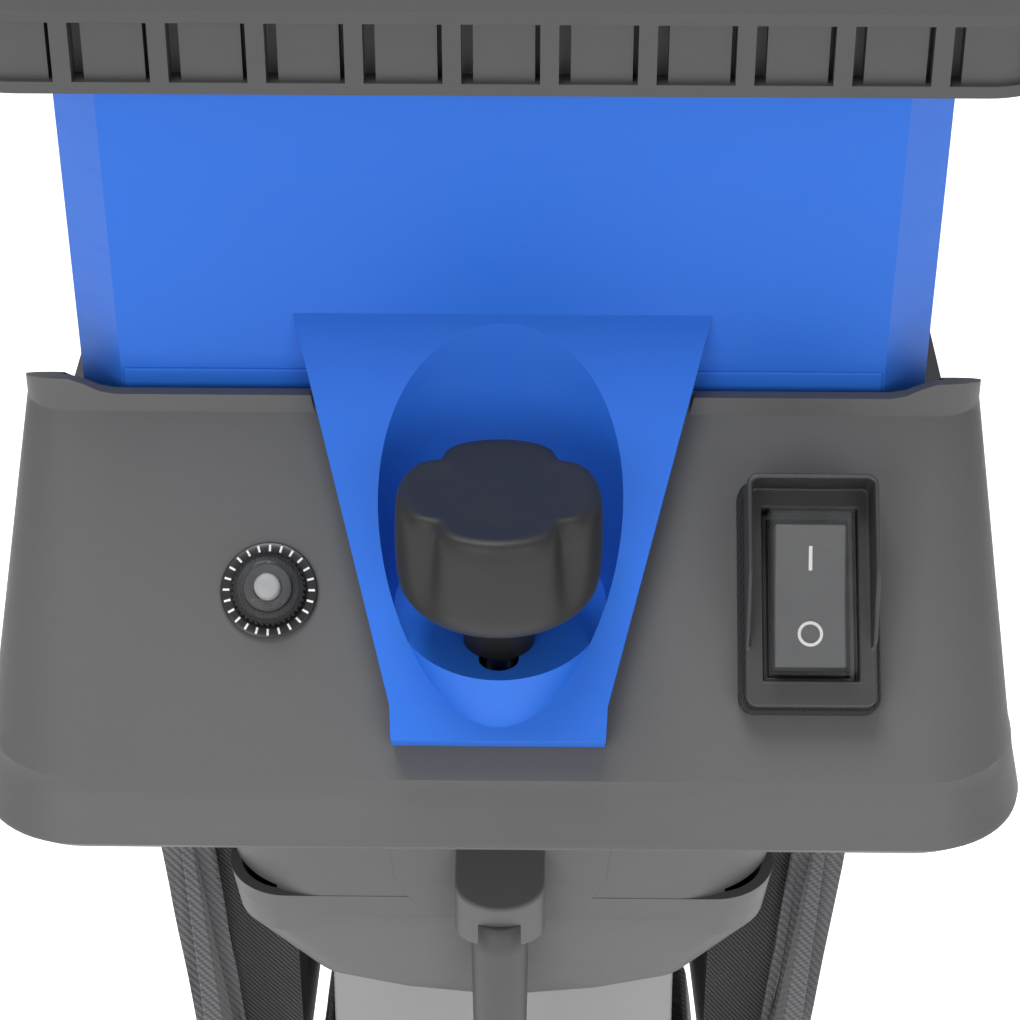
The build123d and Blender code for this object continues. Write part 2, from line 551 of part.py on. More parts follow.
cord_radii = route_radii(CORD_ROUTE)
print("cord radii", [round(r) for r in cord_radii])
cord_line = FilletPolyline(*CORD_ROUTE, radius=cord_radii)
cord_start = Plane(origin=CORD_ROUTE[0], z_dir=cord_line % 0)
parts["cord"] = sweep(cord_start * Circle(CORD_R), path=cord_line)
print("cord length", round(cord_line.length, 1), "volume ratio",
      round(parts["cord"].volume / (math.pi * CORD_R**2 * cord_line.length), 4))
plug_x, plug_y, plug_top = CORD_ROUTE[-1]
plug = Pos(plug_x, plug_y, plug_top - 9) * Cone(10, 7, 18)
plug += Pos(plug_x, plug_y, plug_top - 28) * Cylinder(14, 20)
parts["plug"] = plug
parts["plug_pins"] = Compound(
    [Pos(plug_x + dx, plug_y, plug_top - 47) * Box(1.6, 6.4, 18) for dx in (-6.35, 6.35)]
    + [Pos(plug_x, plug_y + 8, plug_top - 47.5) * Cylinder(2.4, 19)]
)

# ---- tube stand ----
LEG_TOP_Z = BOWL_BOTTOM + 12.0
FOOT_Y = -196.0
FRONT_LEG = [(62.5, -48.0, 770.0), (FOOT_HALF, FOOT_Y, 20.0)]
REAR_LEG = [(62.5, 40.0, 770.0), (FOOT_HALF, WHEEL_Y, 62.0)]


def leg_point(leg, z):
    """Point on a leg's axis at height z."""
    (x0, y0, z0), (x1, y1, z1) = leg
    t = (z - z0) / (z1 - z0)
    return (x0 + t * (x1 - x0), y0 + t * (y1 - y0), z)


def tube(points, radius, corner):
    """A round tube through points, with one bend radius."""
    line = FilletPolyline(*points, radius=corner) if len(points) > 2 else Line(*points)
    start = Plane(origin=points[0], z_dir=line % 0)
    return sweep(start * Circle(radius), path=line)


for name, side in (("left_frame", -1), ("right_frame", 1)):
    route = [
        leg_point(FRONT_LEG, 20.0),
        (62.5 + 2.0, -50.0, 753.0),
        (62.5 + 2.0, 42.0, 753.0),
        leg_point(REAR_LEG, 75.0 + 14),
    ]
    parts[name] = tube([(side * x, y, z) for x, y, z in route], TUBE_R, 28.0)
BRACKET_Z = 753.0 + TUBE_R
brackets = []
for side in (-1, 1):
    plate = block(side * 64.5 - 17, side * 64.5 + 17, -22, 14, BRACKET_Z + 0.2, BRACKET_Z + 3.2)
    outer_edge = side * 81.5
    plate += block(min(outer_edge - side * 3, outer_edge), max(outer_edge - side * 3, outer_edge),
                   -22, 14, BRACKET_Z + 0.2, PLATE_Z - 0.3)
    brackets.append(plate)
parts["frame_brackets"] = Compound(brackets)
front_bar_z, rear_bar_z = 210.0, 260.0
bars = []
for leg, z in ((FRONT_LEG, front_bar_z), (REAR_LEG, rear_bar_z)):
    x, y, _ = leg_point(leg, z)
    bars.append(rod_x(-x + TUBE_R - 1, x - TUBE_R + 1, y, z, 9.0))
parts["front_crossbar"] = bars[0] - parts["left_frame"] - parts["right_frame"]
parts["rear_crossbar"] = bars[1] - parts["left_frame"] - parts["right_frame"]
feet = []
for side in (-1, 1):
    foot = post(side * FOOT_HALF, FOOT_Y, 0, 36, 19.0)
    feet.append(foot - parts["left_frame"] - parts["right_frame"])
parts["rubber_feet"] = Compound(feet)
AXLE_R = 5.0
parts["wheel_axle"] = rod_x(-WHEEL_X - 24, WHEEL_X + 24, WHEEL_Y, WHEEL_R, AXLE_R)
sockets = []
for side in (-1, 1):
    x, y, z = leg_point(REAR_LEG, 89.0)
    socket = block(side * x - 16, side * x + 16, WHEEL_Y - 20, WHEEL_Y + 16, 64, 112)
    socket -= rod_x(side * x - 30, side * x + 30, WHEEL_Y, WHEEL_R, AXLE_R + 0.02)
    sockets.append(socket - parts["left_frame"] - parts["right_frame"])
parts["axle_sockets"] = Compound(sockets)

for name, side in (("left", -1), ("right", 1)):
    cx = side * WHEEL_X
    hub = rod_x(cx - 14, cx + 14, WHEEL_Y, WHEEL_R, 56)
    hub -= rod_x(cx + side * 3, cx + side * 20, WHEEL_Y, WHEEL_R, 50)
    hub -= rod_x(cx - side * 20, cx - side * 3, WHEEL_Y, WHEEL_R, 50)
    hub += rod_x(cx - 16, cx + 16, WHEEL_Y, WHEEL_R, 14)
    for n in range(6):
        a = math.radians(60 * n + 30)
        hub -= rod_x(cx - 5, cx + 5, WHEEL_Y + 33 * math.cos(a), WHEEL_R + 33 * math.sin(a), 10)
    parts[f"{name}_wheel_hub"] = hub - rod_x(cx - 20, cx + 20, WHEEL_Y, WHEEL_R, AXLE_R + 0.06)
    tyre = rod_x(cx - 18, cx + 18, WHEEL_Y, WHEEL_R, WHEEL_R) - rod_x(cx - 20, cx + 20, WHEEL_Y, WHEEL_R, 56.0)
    parts[f"{name}_tyre"] = tyre
caps = []
for side in (-1, 1):
    x0, x1 = sorted((side * (WHEEL_X + 17), side * (WHEEL_X + 27)))
    cap = rod_x(x0, x1, WHEEL_Y, WHEEL_R, 12)
    caps.append(cap - parts["wheel_axle"])
parts["axle_caps"] = Compound(caps)

# ---- collection bag on four straps ----


def bag_section(z, half, front, rear):
    """Bag outline at height z."""
    return Plane((0, (front + rear) / 2, z)) * RectangleRounded(2 * half, rear - front, 16)


BAG_ROWS = [(160, 118, -128, 100), (300, 112, -132, 92), (400, 98, -130, 74), (470, 88, -116, 60), (560, 74, -106, 46)]
BAG_TOP = [(600, 66, -102, 40), (632, 62, -100, 36)]
BAG_ROWS += BAG_TOP
bag = loft([bag_section(*row) for row in BAG_ROWS], ruled=True)
bag_space = [(163, 115, -125, 93)] + [(z, h - 3, f + 3, r - 3) for z, h, f, r in BAG_ROWS[1:]]
bag_space[-1] = (634, 59, -97, 33)
bag -= loft([bag_section(*row) for row in bag_space], ruled=True)
parts["collection_bag"] = bag

HOOK_X = 95.0
STRAP_TOP = HOUSING_BOTTOM - 12.0
hooks, straps = [], []
for side in (-1, 1):
    for y, middle, end in (
        (-78.0, (84.0, -104.0, 720.0), (50.0, -102.8, 612.0)),
        (88.0, (62.0, 92.0, 740.0), (46.0, 40.9, 612.0)),
    ):
        hooks.append(
            block(side * HOOK_X - 8, side * HOOK_X + 8, y - 3, y + 3, STRAP_TOP + 1, HOUSING_BOTTOM + 0.2)
        )
        run = [
            Plane((side * HOOK_X, y, STRAP_TOP)) * Rectangle(2, 26),
            Plane((side * middle[0], middle[1], middle[2])) * Rectangle(6, 16),
            Plane((side * end[0], end[1], end[2])) * Rectangle(22, 2),
        ]
        straps.append(loft(run, ruled=True))
parts["bag_hooks"] = Compound(hooks)
parts["bag_straps"] = Compound(straps)

# ---- safety switch under the lock ----
parts["interlock_switch"] = block(-10, 10, KNOB_Y + 13, KNOB_Y + 24, 858, 872)

os.makedirs("parts", exist_ok=True)
for name, shape in parts.items():
    if isinstance(shape, Compound) or len(shape.solids()) != 1:
        shape = Compound(list(shape.solids()))
    shape.label = name
    export_step(shape, f"parts/{name}.step")
low = Compound(list(parts.values())).bounding_box()
print("box", [round(v, 1) for v in (*low.min, *low.max)], "nodes", len(parts))
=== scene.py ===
"""Looks of an electric wood chipper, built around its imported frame.

Every length is in metres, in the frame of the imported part: +X is the user's right, +Y the rear, +Z up.
"""

from __future__ import annotations

import json
import logging
import math
from dataclasses import dataclass
from enum import Enum
from typing import Iterable, Sequence

import bmesh
import bpy
from mathutils import Matrix, Vector, noise

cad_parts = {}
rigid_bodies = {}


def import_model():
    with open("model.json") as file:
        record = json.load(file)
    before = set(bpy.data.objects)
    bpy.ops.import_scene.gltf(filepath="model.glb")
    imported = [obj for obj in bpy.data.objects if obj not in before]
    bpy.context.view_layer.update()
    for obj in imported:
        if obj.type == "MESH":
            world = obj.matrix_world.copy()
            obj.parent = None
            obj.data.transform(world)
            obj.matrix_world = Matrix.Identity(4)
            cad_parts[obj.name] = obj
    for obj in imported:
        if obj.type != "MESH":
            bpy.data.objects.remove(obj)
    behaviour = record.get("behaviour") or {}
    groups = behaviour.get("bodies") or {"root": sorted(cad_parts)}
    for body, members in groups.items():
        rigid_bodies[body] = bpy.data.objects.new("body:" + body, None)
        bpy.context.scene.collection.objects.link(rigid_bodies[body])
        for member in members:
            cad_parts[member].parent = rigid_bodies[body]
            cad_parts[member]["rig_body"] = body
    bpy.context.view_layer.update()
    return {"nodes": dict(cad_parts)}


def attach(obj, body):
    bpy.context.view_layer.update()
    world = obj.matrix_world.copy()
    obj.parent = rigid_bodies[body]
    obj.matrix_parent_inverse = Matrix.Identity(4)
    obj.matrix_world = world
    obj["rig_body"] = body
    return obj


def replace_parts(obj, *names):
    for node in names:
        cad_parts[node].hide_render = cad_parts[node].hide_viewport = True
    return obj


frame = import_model()

log = logging.getLogger("wood_chipper")
MM = 0.001
PANEL_Y = -115 * MM
PANEL_Z = 915 * MM
SLOPE = math.radians(45)
KNOB_Y = PANEL_Y - 32 * MM
WHITE = (1.0, 1.0, 1.0, 1.0)
WELD = 1e-7
Colour = tuple[float, float, float]
Outline = tuple[tuple[float, float], ...]


def panel_place(across: float, up: float, out: float) -> Matrix:
    """A placement on the sloping panel.

    Args:
        across: Distance to the user's right.
        up: Distance up the slope from the panel's middle.
        out: Distance out of the panel's face.

    Returns:
        A matrix whose Z axis is the panel's normal and whose Y axis runs up the slope.
    """
    slope = Vector((0, math.cos(SLOPE), math.sin(SLOPE)))
    normal = Vector((0, -math.sin(SLOPE), math.cos(SLOPE)))
    origin = Vector((across, PANEL_Y, PANEL_Z)) + slope * up + normal * out
    turn = Matrix((Vector((1, 0, 0)), slope, normal)).transposed().to_4x4()
    return Matrix.Translation(origin) @ turn


# ---------------------------------------------------------------- shader maths


class Number:
    """A shader value with Python arithmetic: an expression adds its Math nodes."""

    def __init__(self, tree: bpy.types.NodeTree, socket: bpy.types.NodeSocket) -> None:
        """Wraps an output socket of a tree."""
        self.tree = tree
        self.socket = socket

    def _math(self, operation: str, *terms: "Number | float") -> "Number":
        """Adds one Math node.

        Args:
            operation: The node's operation.
            terms: Its inputs, wrapped sockets or plain numbers.

        Returns:
            The node's result.
        """
        node = self.tree.nodes.new("ShaderNodeMath")
        node.operation = operation
        for slot, term in zip(node.inputs, terms):
            if isinstance(term, Number):
                self.tree.links.new(term.socket, slot)
            else:
                slot.default_value = term
        return Number(self.tree, node.outputs[0])

    def __add__(self, other: "Number | float") -> "Number":
        """Sum."""
        return self._math("ADD", self, other)

    def __radd__(self, other: float) -> "Number":
        """Reflected sum."""
        return self._math("ADD", other, self)

    def __sub__(self, other: "Number | float") -> "Number":
        """Difference."""
        return self._math("SUBTRACT", self, other)

    def __rsub__(self, other: float) -> "Number":
        """Reflected difference."""
        return self._math("SUBTRACT", other, self)

    def __mul__(self, other: "Number | float") -> "Number":
        """Product."""
        return self._math("MULTIPLY", self, other)

    def __rmul__(self, other: float) -> "Number":
        """Reflected product."""
        return self._math("MULTIPLY", other, self)

    def __pow__(self, other: float) -> "Number":
        """Power."""
        return self._math("POWER", self, other)

    def sine(self) -> "Number":
        """Sine of a value in radians."""
        return self._math("SINE", self)

    def magnitude(self) -> "Number":
        """Value without its sign."""
        return self._math("ABSOLUTE", self)


class Recipe:
    """A node material in the making."""

    def __init__(self, name: str) -> None:
        """Starts a material with one Principled shader."""
        self.material = bpy.data.materials.new(f"{name}_finish")
        self.material.use_nodes = True
        self.tree = self.material.node_tree
        self.tree.nodes.clear()
        self.shader = self.node("ShaderNodeBsdfPrincipled", {}, {})
        output = self.node("ShaderNodeOutputMaterial", {}, {})
        self.tree.links.new(self.shader.outputs[0], output.inputs[0])
        self.point = self.node("ShaderNodeTexCoord", {}, {}).outputs["Object"]

    def node(self, kind: str, settings: dict[str, object], inputs: dict[str, object]) -> bpy.types.Node:
        """Adds a node.

        Args:
            kind: The node's type.
            settings: Properties, set before any input.
            inputs: Socket name to a value, a socket or a Number.

        Returns:
            The new node.
        """
        made = self.tree.nodes.new(kind)
        for key, value in settings.items():
            setattr(made, key, value)
        for key, value in inputs.items():
            self.feed(made, key, value)
        return made

    def feed(self, node: bpy.types.Node, key: str, value: object) -> None:
        """Sets or links one input of a node."""
        socket = node.inputs[key]
        if isinstance(value, Number):
            self.tree.links.new(value.socket, socket)
        elif isinstance(value, bpy.types.NodeSocket):
            self.tree.links.new(value, socket)
        else:
            socket.default_value = value

    def number(self, socket: bpy.types.NodeSocket) -> Number:
        """Wraps a socket of this tree."""
        return Number(self.tree, socket)

    def grain(self, scale: float, detail: float = 3.0, stretch: Sequence[float] = (1, 1, 1)) -> Number:
        """Noise from 0 to 1, about 0.5.

        Args:
            scale: Features per metre.
            detail: Octaves of finer noise.
            stretch: Scale along each axis.

        Returns:
            The noise value.
        """
        mapping = self.node("ShaderNodeMapping", {}, {"Vector": self.point, "Scale": tuple(stretch)})
        sizes = {"Vector": mapping.outputs[0], "Scale": scale, "Detail": detail}
        made = self.node("ShaderNodeTexNoise", {}, sizes)
        return self.number(made.outputs["Fac"])

    def axes(self) -> tuple[Number, Number, Number]:
        """The three object coordinates."""
        parts = self.node("ShaderNodeSeparateXYZ", {}, {"Vector": self.point})
        return tuple(self.number(out) for out in parts.outputs)

    def tint(self, dark: Colour, light: Colour, share: Number) -> bpy.types.NodeSocket:
        """A colour between two, by a value from 0 to 1."""
        mix = self.node("ShaderNodeMix", {"data_type": "RGBA"}, {"Factor": share})
        mix.inputs[6].default_value = (*dark, 1)
        mix.inputs[7].default_value = (*light, 1)
        return mix.outputs[2]

    def relief(self, height: Number, distance: float, strength: float = 1.0) -> None:
        """Feeds a bump of that height, in metres, to the shader's normal."""
        bump = self.node("ShaderNodeBump", {}, {"Height": height, "Distance": distance, "Strength": strength})
        self.feed(self.shader, "Normal", bump.outputs[0])


def shade(colour: Colour, by: float) -> Colour:
    """A colour made lighter or darker by a factor."""
    return tuple(min(1.0, c * by) for c in colour)


@dataclass(frozen=True)
class MouldedPlastic:
    """Injection-moulded plastic with a fine spark-eroded grain and faint handling marks."""

    name: str
    colour: Colour
    roughness: float = 0.5
    grain_per_metre: float = 2600.0
    grain_depth: float = 0.00008
    mottle: float = 0.10
    specular: float = 0.5
    cloud_per_metre: float = 14.0
    fleck_per_metre: float = 700.0
    scuffs_per_metre: float = 60.0
    gloss_range: float = 0.16

    def make(self) -> bpy.types.Material:
        """Builds the material."""
        r = Recipe(self.name)
        cloud, fleck = r.grain(self.cloud_per_metre, 4.0), r.grain(self.fleck_per_metre, 2.0)
        share = cloud * 0.7 + fleck * 0.3
        base = r.tint(shade(self.colour, 1 - self.mottle), shade(self.colour, 1 + self.mottle), share)
        r.feed(r.shader, "Base Color", base)
        scuffs = r.grain(self.scuffs_per_metre, 5.0, (1.0, 1.0, 6.0))
        r.feed(r.shader, "Roughness", self.roughness - self.gloss_range / 2 + scuffs * self.gloss_range)
        r.feed(r.shader, "Specular IOR Level", self.specular)
        r.relief(r.grain(self.grain_per_metre, 2.0), self.grain_depth, 0.35)
        return r.material


@dataclass(frozen=True)
class Rubber:
    """Soft black rubber or flexible PVC, a little dusty."""

    name: str
    colour: Colour = (0.035, 0.035, 0.036)
    roughness: float = 0.72
    dust_per_metre: float = 35.0
    gloss_range: float = 0.12

    def make(self) -> bpy.types.Material:
        """Builds the material."""
        r = Recipe(self.name)
        dust = r.grain(self.dust_per_metre, 5.0)
        r.feed(r.shader, "Base Color", r.tint(self.colour, shade(self.colour, 1.7), dust ** 2.0))
        r.feed(r.shader, "Roughness", self.roughness - self.gloss_range / 2 + dust * self.gloss_range)
        r.relief(r.grain(1500.0, 3.0), 0.0001, 0.3)
        return r.material


@dataclass(frozen=True)
class Knurled:
    """Rubber or metal with a crossed diamond pattern in the panel's plane; its colour has painted shade in
    the grooves and painted highlight on the ridges.
    """

    name: str
    colour: Colour
    metallic: float
    pitch: float = 0.0016

    def make(self) -> bpy.types.Material:
        """Builds the material."""
        r = Recipe(self.name)
        x, y, z = r.axes()
        turns = 2 * math.pi / self.pitch
        first = ((x + y + z) * turns).sine()
        second = ((x - y + z * 0.6) * turns).sine()
        height = first.magnitude() * second.magnitude()
        # Painted shade and highlight: the colour darkens in the knurl's grooves and lightens on its ridges,
        # following the bump's height.
        r.feed(r.shader, "Base Color", r.tint(shade(self.colour, 0.35), shade(self.colour, 1.6), height))
        r.feed(r.shader, "Roughness", 0.62 - height * 0.2)
        r.feed(r.shader, "Metallic", self.metallic)
        r.relief(height, 0.0005, 0.9)
        return r.material


@dataclass(frozen=True)
class Metal:
    """Machined, cast or plated metal with tool marks."""

    name: str
    colour: Colour = (0.62, 0.62, 0.63)
    roughness: float = 0.32
    stretch: tuple[float, float, float] = (1.0, 1.0, 30.0)
    marks_per_metre: float = 120.0
    gloss_range: float = 0.16

    def make(self) -> bpy.types.Material:
        """Builds the material."""
        r = Recipe(self.name)
        marks = r.grain(self.marks_per_metre, 3.0, self.stretch)
        r.feed(r.shader, "Base Color", r.tint(shade(self.colour, 0.8), shade(self.colour, 1.1), marks))
        r.feed(r.shader, "Metallic", 1.0)
        r.feed(r.shader, "Roughness", self.roughness - self.gloss_range / 2 + marks * self.gloss_range)
        r.relief(marks, 0.00004, 0.3)
        return r.material


@dataclass(frozen=True)
class PowderCoat:
    """Glossy black powder coat on steel tube, with orange peel."""

    name: str
    colour: Colour = (0.018, 0.018, 0.019)
    peel_per_metre: float = 420.0
    scratches_per_metre: float = 90.0

    def make(self) -> bpy.types.Material:
        """Builds the material."""
        r = Recipe(self.name)
        peel = r.grain(self.peel_per_metre, 2.0)
        scratches = r.grain(self.scratches_per_metre, 6.0, (1.0, 1.0, 0.2))
        r.feed(r.shader, "Base Color", r.tint(self.colour, shade(self.colour, 1.8), scratches ** 3.0))
        r.feed(r.shader, "Roughness", 0.2 + scratches * 0.14)
        r.feed(r.shader, "Coat Weight", 0.5)
        r.relief(peel, 0.0002, 0.25)
        return r.material


@dataclass(frozen=True)
class Twill:
    """Woven bag cloth: diagonal ribs and thread variation in the bump, a cloudy tone, painted shade between
    ribs and threads, and a soft sheen.
    """

    name: str
    colour: Colour = (0.075, 0.076, 0.08)
    rib: float = 0.0024

    def make(self) -> bpy.types.Material:
        """Builds the material."""
        r = Recipe(self.name)
        x, y, z = r.axes()
        turns = 2 * math.pi / self.rib
        wobble = r.grain(220.0, 2.0) * 1.2
        ribs = ((x + y + z * 0.8) * turns + wobble).sine() * 0.5 + 0.5
        threads = ((z - x * 0.4 - y * 0.4) * (turns * 2.1)).sine() * 0.5 + 0.5
        cloud = r.grain(18.0, 4.0)
        height = ribs * 0.75 + threads * 0.25
        share = height * 0.6 + cloud * 0.4
        # Partly random cloudy tone, partly painted shade: the colour is darker between ribs and threads and
        # lighter on their crowns, by the bump's height.
        r.feed(r.shader, "Base Color", r.tint(shade(self.colour, 0.5), shade(self.colour, 1.7), share))
        r.feed(r.shader, "Roughness", 0.92 - height * 0.12)
        r.feed(r.shader, "Sheen Weight", 0.25)
        r.relief(height, 0.0004, 0.8)
        return r.material


@dataclass(frozen=True)
class ClearPlastic:
    """Clear soft PVC or polycarbonate, thin enough to see through."""

    name: str
    tint: Colour = (0.16, 0.165, 0.17)
    alpha: float = 0.12

    def make(self) -> bpy.types.Material:
        """Builds the material."""
        r = Recipe(self.name)
        haze = r.grain(160.0, 3.0)
        r.feed(r.shader, "Base Color", r.tint(shade(self.tint, 0.9), self.tint, haze))
        r.feed(r.shader, "Roughness", 0.06 + haze * 0.1)
        r.feed(r.shader, "Alpha", self.alpha - 0.05 + haze * 0.1)
        r.feed(r.shader, "IOR", 1.5)
        r.feed(r.shader, "Coat Weight", 0.3)
        r.relief(r.grain(40.0, 2.0), 0.0003, 0.2)
        return r.material


class Finish(Enum):
    """The finishes of this machine."""

    BLACK_SHELL = MouldedPlastic("black_shell", (0.082, 0.082, 0.083), 0.55)
    RIM_SHELL = MouldedPlastic("rim_shell", (0.055, 0.055, 0.056), 0.55)
    BLUE_SHELL = MouldedPlastic(
        "blue_shell", (0.020, 0.135, 0.60), 0.5, 1800.0, 0.00005, mottle=0.05, specular=0.25
    )
    GREY_SHELL = MouldedPlastic("grey_shell", (0.085, 0.086, 0.088), 0.5)
    CHUTE_SHELL = MouldedPlastic("chute_shell", (0.23, 0.23, 0.232), 0.45)
    BLACK_PLASTIC = MouldedPlastic("black_plastic", (0.032, 0.032, 0.033), 0.42)
    KNOB_BLACK = MouldedPlastic("knob_black", (0.017, 0.017, 0.017), 0.5, 1500.0, 0.00012, specular=0.35)
    ROCKER_GREY = MouldedPlastic("rocker_grey", (0.09, 0.09, 0.092), 0.35, 2600.0, 0.00003)
    CLEAR = ClearPlastic("clear")
    SOFT_BLACK = Rubber("soft_black")
    CORD_SHEATH = Rubber("cord_sheath", (0.045, 0.045, 0.046), 0.5)
    LABEL_BLACK = MouldedPlastic("label_black", (0.012, 0.012, 0.012), 0.3, 2600.0, 0.00002)
    LABEL_INK = MouldedPlastic("label_ink", (0.8, 0.8, 0.8), 0.5, 2600.0, 0.00002, mottle=0.04)
    BUTTON_WHITE = MouldedPlastic("button_white", (0.45, 0.45, 0.45), 0.35)
    TYRE = Rubber("tyre", (0.028, 0.028, 0.028), 0.8)
    STEEL = Metal("steel")
    BRASS = Metal("brass", (0.75, 0.52, 0.22))
    CAST_ALLOY = Metal("cast_alloy", (0.56, 0.57, 0.58), 0.5, (1.0, 1.0, 1.0))
    BLACK_TUBE = PowderCoat("black_tube")
    BAG_FABRIC = Twill("bag_fabric")
    # Near-black colour that paints the shade under the housing beside the chute.
    SHADE_SHEET = Twill("painted_shade_sheet", (0.006, 0.006, 0.006), 0.0014)
    GASKET = Knurled("knurled_gasket", (0.03, 0.03, 0.03), 0.0)
    NUT = Knurled("knurled_nut", (0.05, 0.05, 0.05), 0.3, 0.0012)

    def material(self) -> bpy.types.Material:
        """The material, built on first use under a name that the frame's own materials don't have."""
        return bpy.data.materials.get(f"{self.value.name}_finish") or self.value.make()


# ---------------------------------------------------------------- mesh helpers


def add_piece(name: str, mesh: bpy.types.Mesh, body: str, finish: Finish) -> bpy.types.Object:
    """Puts a finished mesh in the scene on its body.

    Args:
        name: The piece's name.
        mesh: Its mesh, in place.
        body: The body that it rides on.
        finish: Its finish.

    Returns:
        The new object.
    """
    made = bpy.data.objects.new(name, mesh)
    bpy.context.scene.collection.objects.link(made)
    if not mesh.materials:
        mesh.materials.append(finish.material())
    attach(made, body)
    log.info("%s: %d faces on %s", name, len(mesh.polygons), body)
    return made


def applied(made: bpy.types.Object) -> bpy.types.Mesh:
    """The mesh of an object with its modifiers applied; the object is removed."""
    graph = bpy.context.evaluated_depsgraph_get()
    graph.update()
    final = made.evaluated_get(graph)
    mesh = bpy.data.meshes.new_from_object(final, preserve_all_data_layers=True, depsgraph=graph)
    bpy.data.objects.remove(made)
    return mesh


def loose_object(mesh: bpy.types.Mesh) -> bpy.types.Object:
    """A working object for modifiers, not yet part of the model."""
    made = bpy.data.objects.new("working", mesh)
    bpy.context.scene.collection.objects.link(made)
    return made


def rounded(mesh: bpy.types.Mesh, width: float, segments: int = 3, angle: float = 28.0) -> bpy.types.Mesh:
    """A mesh with its sharp edges rounded.

    Args:
        mesh: The closed source mesh.
        width: Radius of the rounding.
        segments: Faces across it.
        angle: Only edges sharper than this, in degrees, are rounded.

    Returns:
        A new mesh with smooth shading.
    """
    work = loose_object(mesh)
    bevel = work.modifiers.new("round", "BEVEL")
    bevel.width, bevel.segments, bevel.limit_method = width, segments, "ANGLE"
    bevel.angle_limit = math.radians(angle)
    even = work.modifiers.new("even_shading", "WEIGHTED_NORMAL")
    even.mode, even.weight, even.keep_sharp = "FACE_AREA", 50, False
    for face in mesh.polygons:
        face.use_smooth = True
    return applied(work)


def welded_copy(node: str, gap: float = 2e-6, flat: float = math.radians(0.6)) -> bpy.types.Mesh:
    """A copy of a frame node's mesh with its corners merged and flat faces joined.

    Args:
        node: The frame node.
        gap: Corners nearer than this become one.
        flat: Faces that turn by less than this angle become one.

    Returns:
        The new mesh.
    """
    work = bmesh.new()
    work.from_mesh(frame["nodes"][node].data)
    bmesh.ops.remove_doubles(work, verts=work.verts, dist=gap)
    bmesh.ops.dissolve_limit(work, angle_limit=flat, verts=work.verts, edges=work.edges)
    mesh = bpy.data.meshes.new(f"{node}_copy")
    work.to_mesh(mesh)
    work.free()
    return mesh


def soften(node: str, width: float, finish: Finish, segments: int = 3) -> bpy.types.Object:
    """Stands a round-edged copy in for a frame node.

    Args:
        node: The frame node.
        width: Radius of its edges.
        finish: Its finish.
        segments: Faces across each rounding.

    Returns:
        The new piece.
    """
    mesh = rounded(welded_copy(node), width, segments)
    made = add_piece(f"{node}_moulded", mesh, frame["nodes"][node]["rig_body"], finish)
    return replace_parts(made, node)


def skin(
    rings: Sequence[Sequence[Vector]], close_start: bool = True, close_end: bool = True
) -> bmesh.types.BMesh:
    """A surface through closed rings of points.

    Args:
        rings: Rings with the same number of points.
        close_start: Whether the first ring gets a cap.
        close_end: Whether the last ring gets one.

    Returns:
        A mesh with outward normals.
    """
    work = bmesh.new()
    rows = [[work.verts.new(p) for p in ring] for ring in rings]
    count = len(rows[0])
    for low, high in zip(rows, rows[1:]):
        for i in range(count):
            j = (i + 1) % count
            work.faces.new((low[i], low[j], high[j], high[i]))
    for wanted, row in ((close_start, rows[0]), (close_end, rows[-1])):
        if wanted:
            hub = work.verts.new(sum((v.co for v in row), Vector()) / count)
            for i in range(count):
                work.faces.new((row[i], row[(i + 1) % count], hub))
    bmesh.ops.recalc_face_normals(work, faces=work.faces)
    return work


def to_mesh(work: bmesh.types.BMesh, name: str, smooth: bool = True) -> bpy.types.Mesh:
    """Turns a working mesh into a stored one."""
    mesh = bpy.data.meshes.new(name)
    for face in work.faces:
        face.smooth = smooth
    work.to_mesh(mesh)
    work.free()
    return mesh


def turned(profile: Outline, place: Matrix, name: str, steps: int = 96) -> bpy.types.Mesh:
    """A closed solid of revolution about the placement's Z axis.

    Args:
        profile: Radius and height pairs in millimetres, along the axis; a closed loop if its ends meet.
        place: Where it goes.
        name: The mesh's name.
        steps: Faces around it.

    Returns:
        The mesh, in place.
    """
    points = [(radius * MM, height * MM) for radius, height in profile]
    rings = []
    for radius, height in points:
        ring = []
        for n in range(steps):
            a = 2 * math.pi * n / steps
            ring.append(place @ Vector((radius * math.cos(a), radius * math.sin(a), height)))
        rings.append(ring)
    loop = points[0] == points[-1]
    work = skin(rings, not loop, not loop)
    if loop:
        bmesh.ops.remove_doubles(work, verts=work.verts, dist=WELD)
        bmesh.ops.recalc_face_normals(work, faces=work.faces)
    return to_mesh(work, name)


def rounded_ring(
    half: float, front: float, rear: float, radius: float, z: float, per_corner: int
) -> list[Vector]:
    """Points of a rounded rectangle in plan.

    Args:
        half: Half its width.
        front: Its front edge.
        rear: Its rear edge.
        radius: Its corner radius.
        z: Its height.
        per_corner: Points on each corner; each side gets as many.

    Returns:
        The ring, anticlockwise from above.
    """
    corners = [
        (half - radius, rear - radius, 0),
        (-half + radius, rear - radius, 90),
        (-half + radius, front + radius, 180),
        (half - radius, front + radius, 270),
    ]
    arcs = []
    for x, y, start in corners:
        turns = [math.radians(start + 90 * n / (per_corner - 1)) for n in range(per_corner)]
        arcs.append([Vector((x + radius * math.cos(a), y + radius * math.sin(a), z)) for a in turns])
    ring: list[Vector] = []
    for arc, following in zip(arcs, arcs[1:] + arcs[:1]):
        ring += arc
        ring += [arc[-1].lerp(following[0], n / per_corner) for n in range(1, per_corner)]
    return ring


# ---------------------------------------------------------------- repeated detail


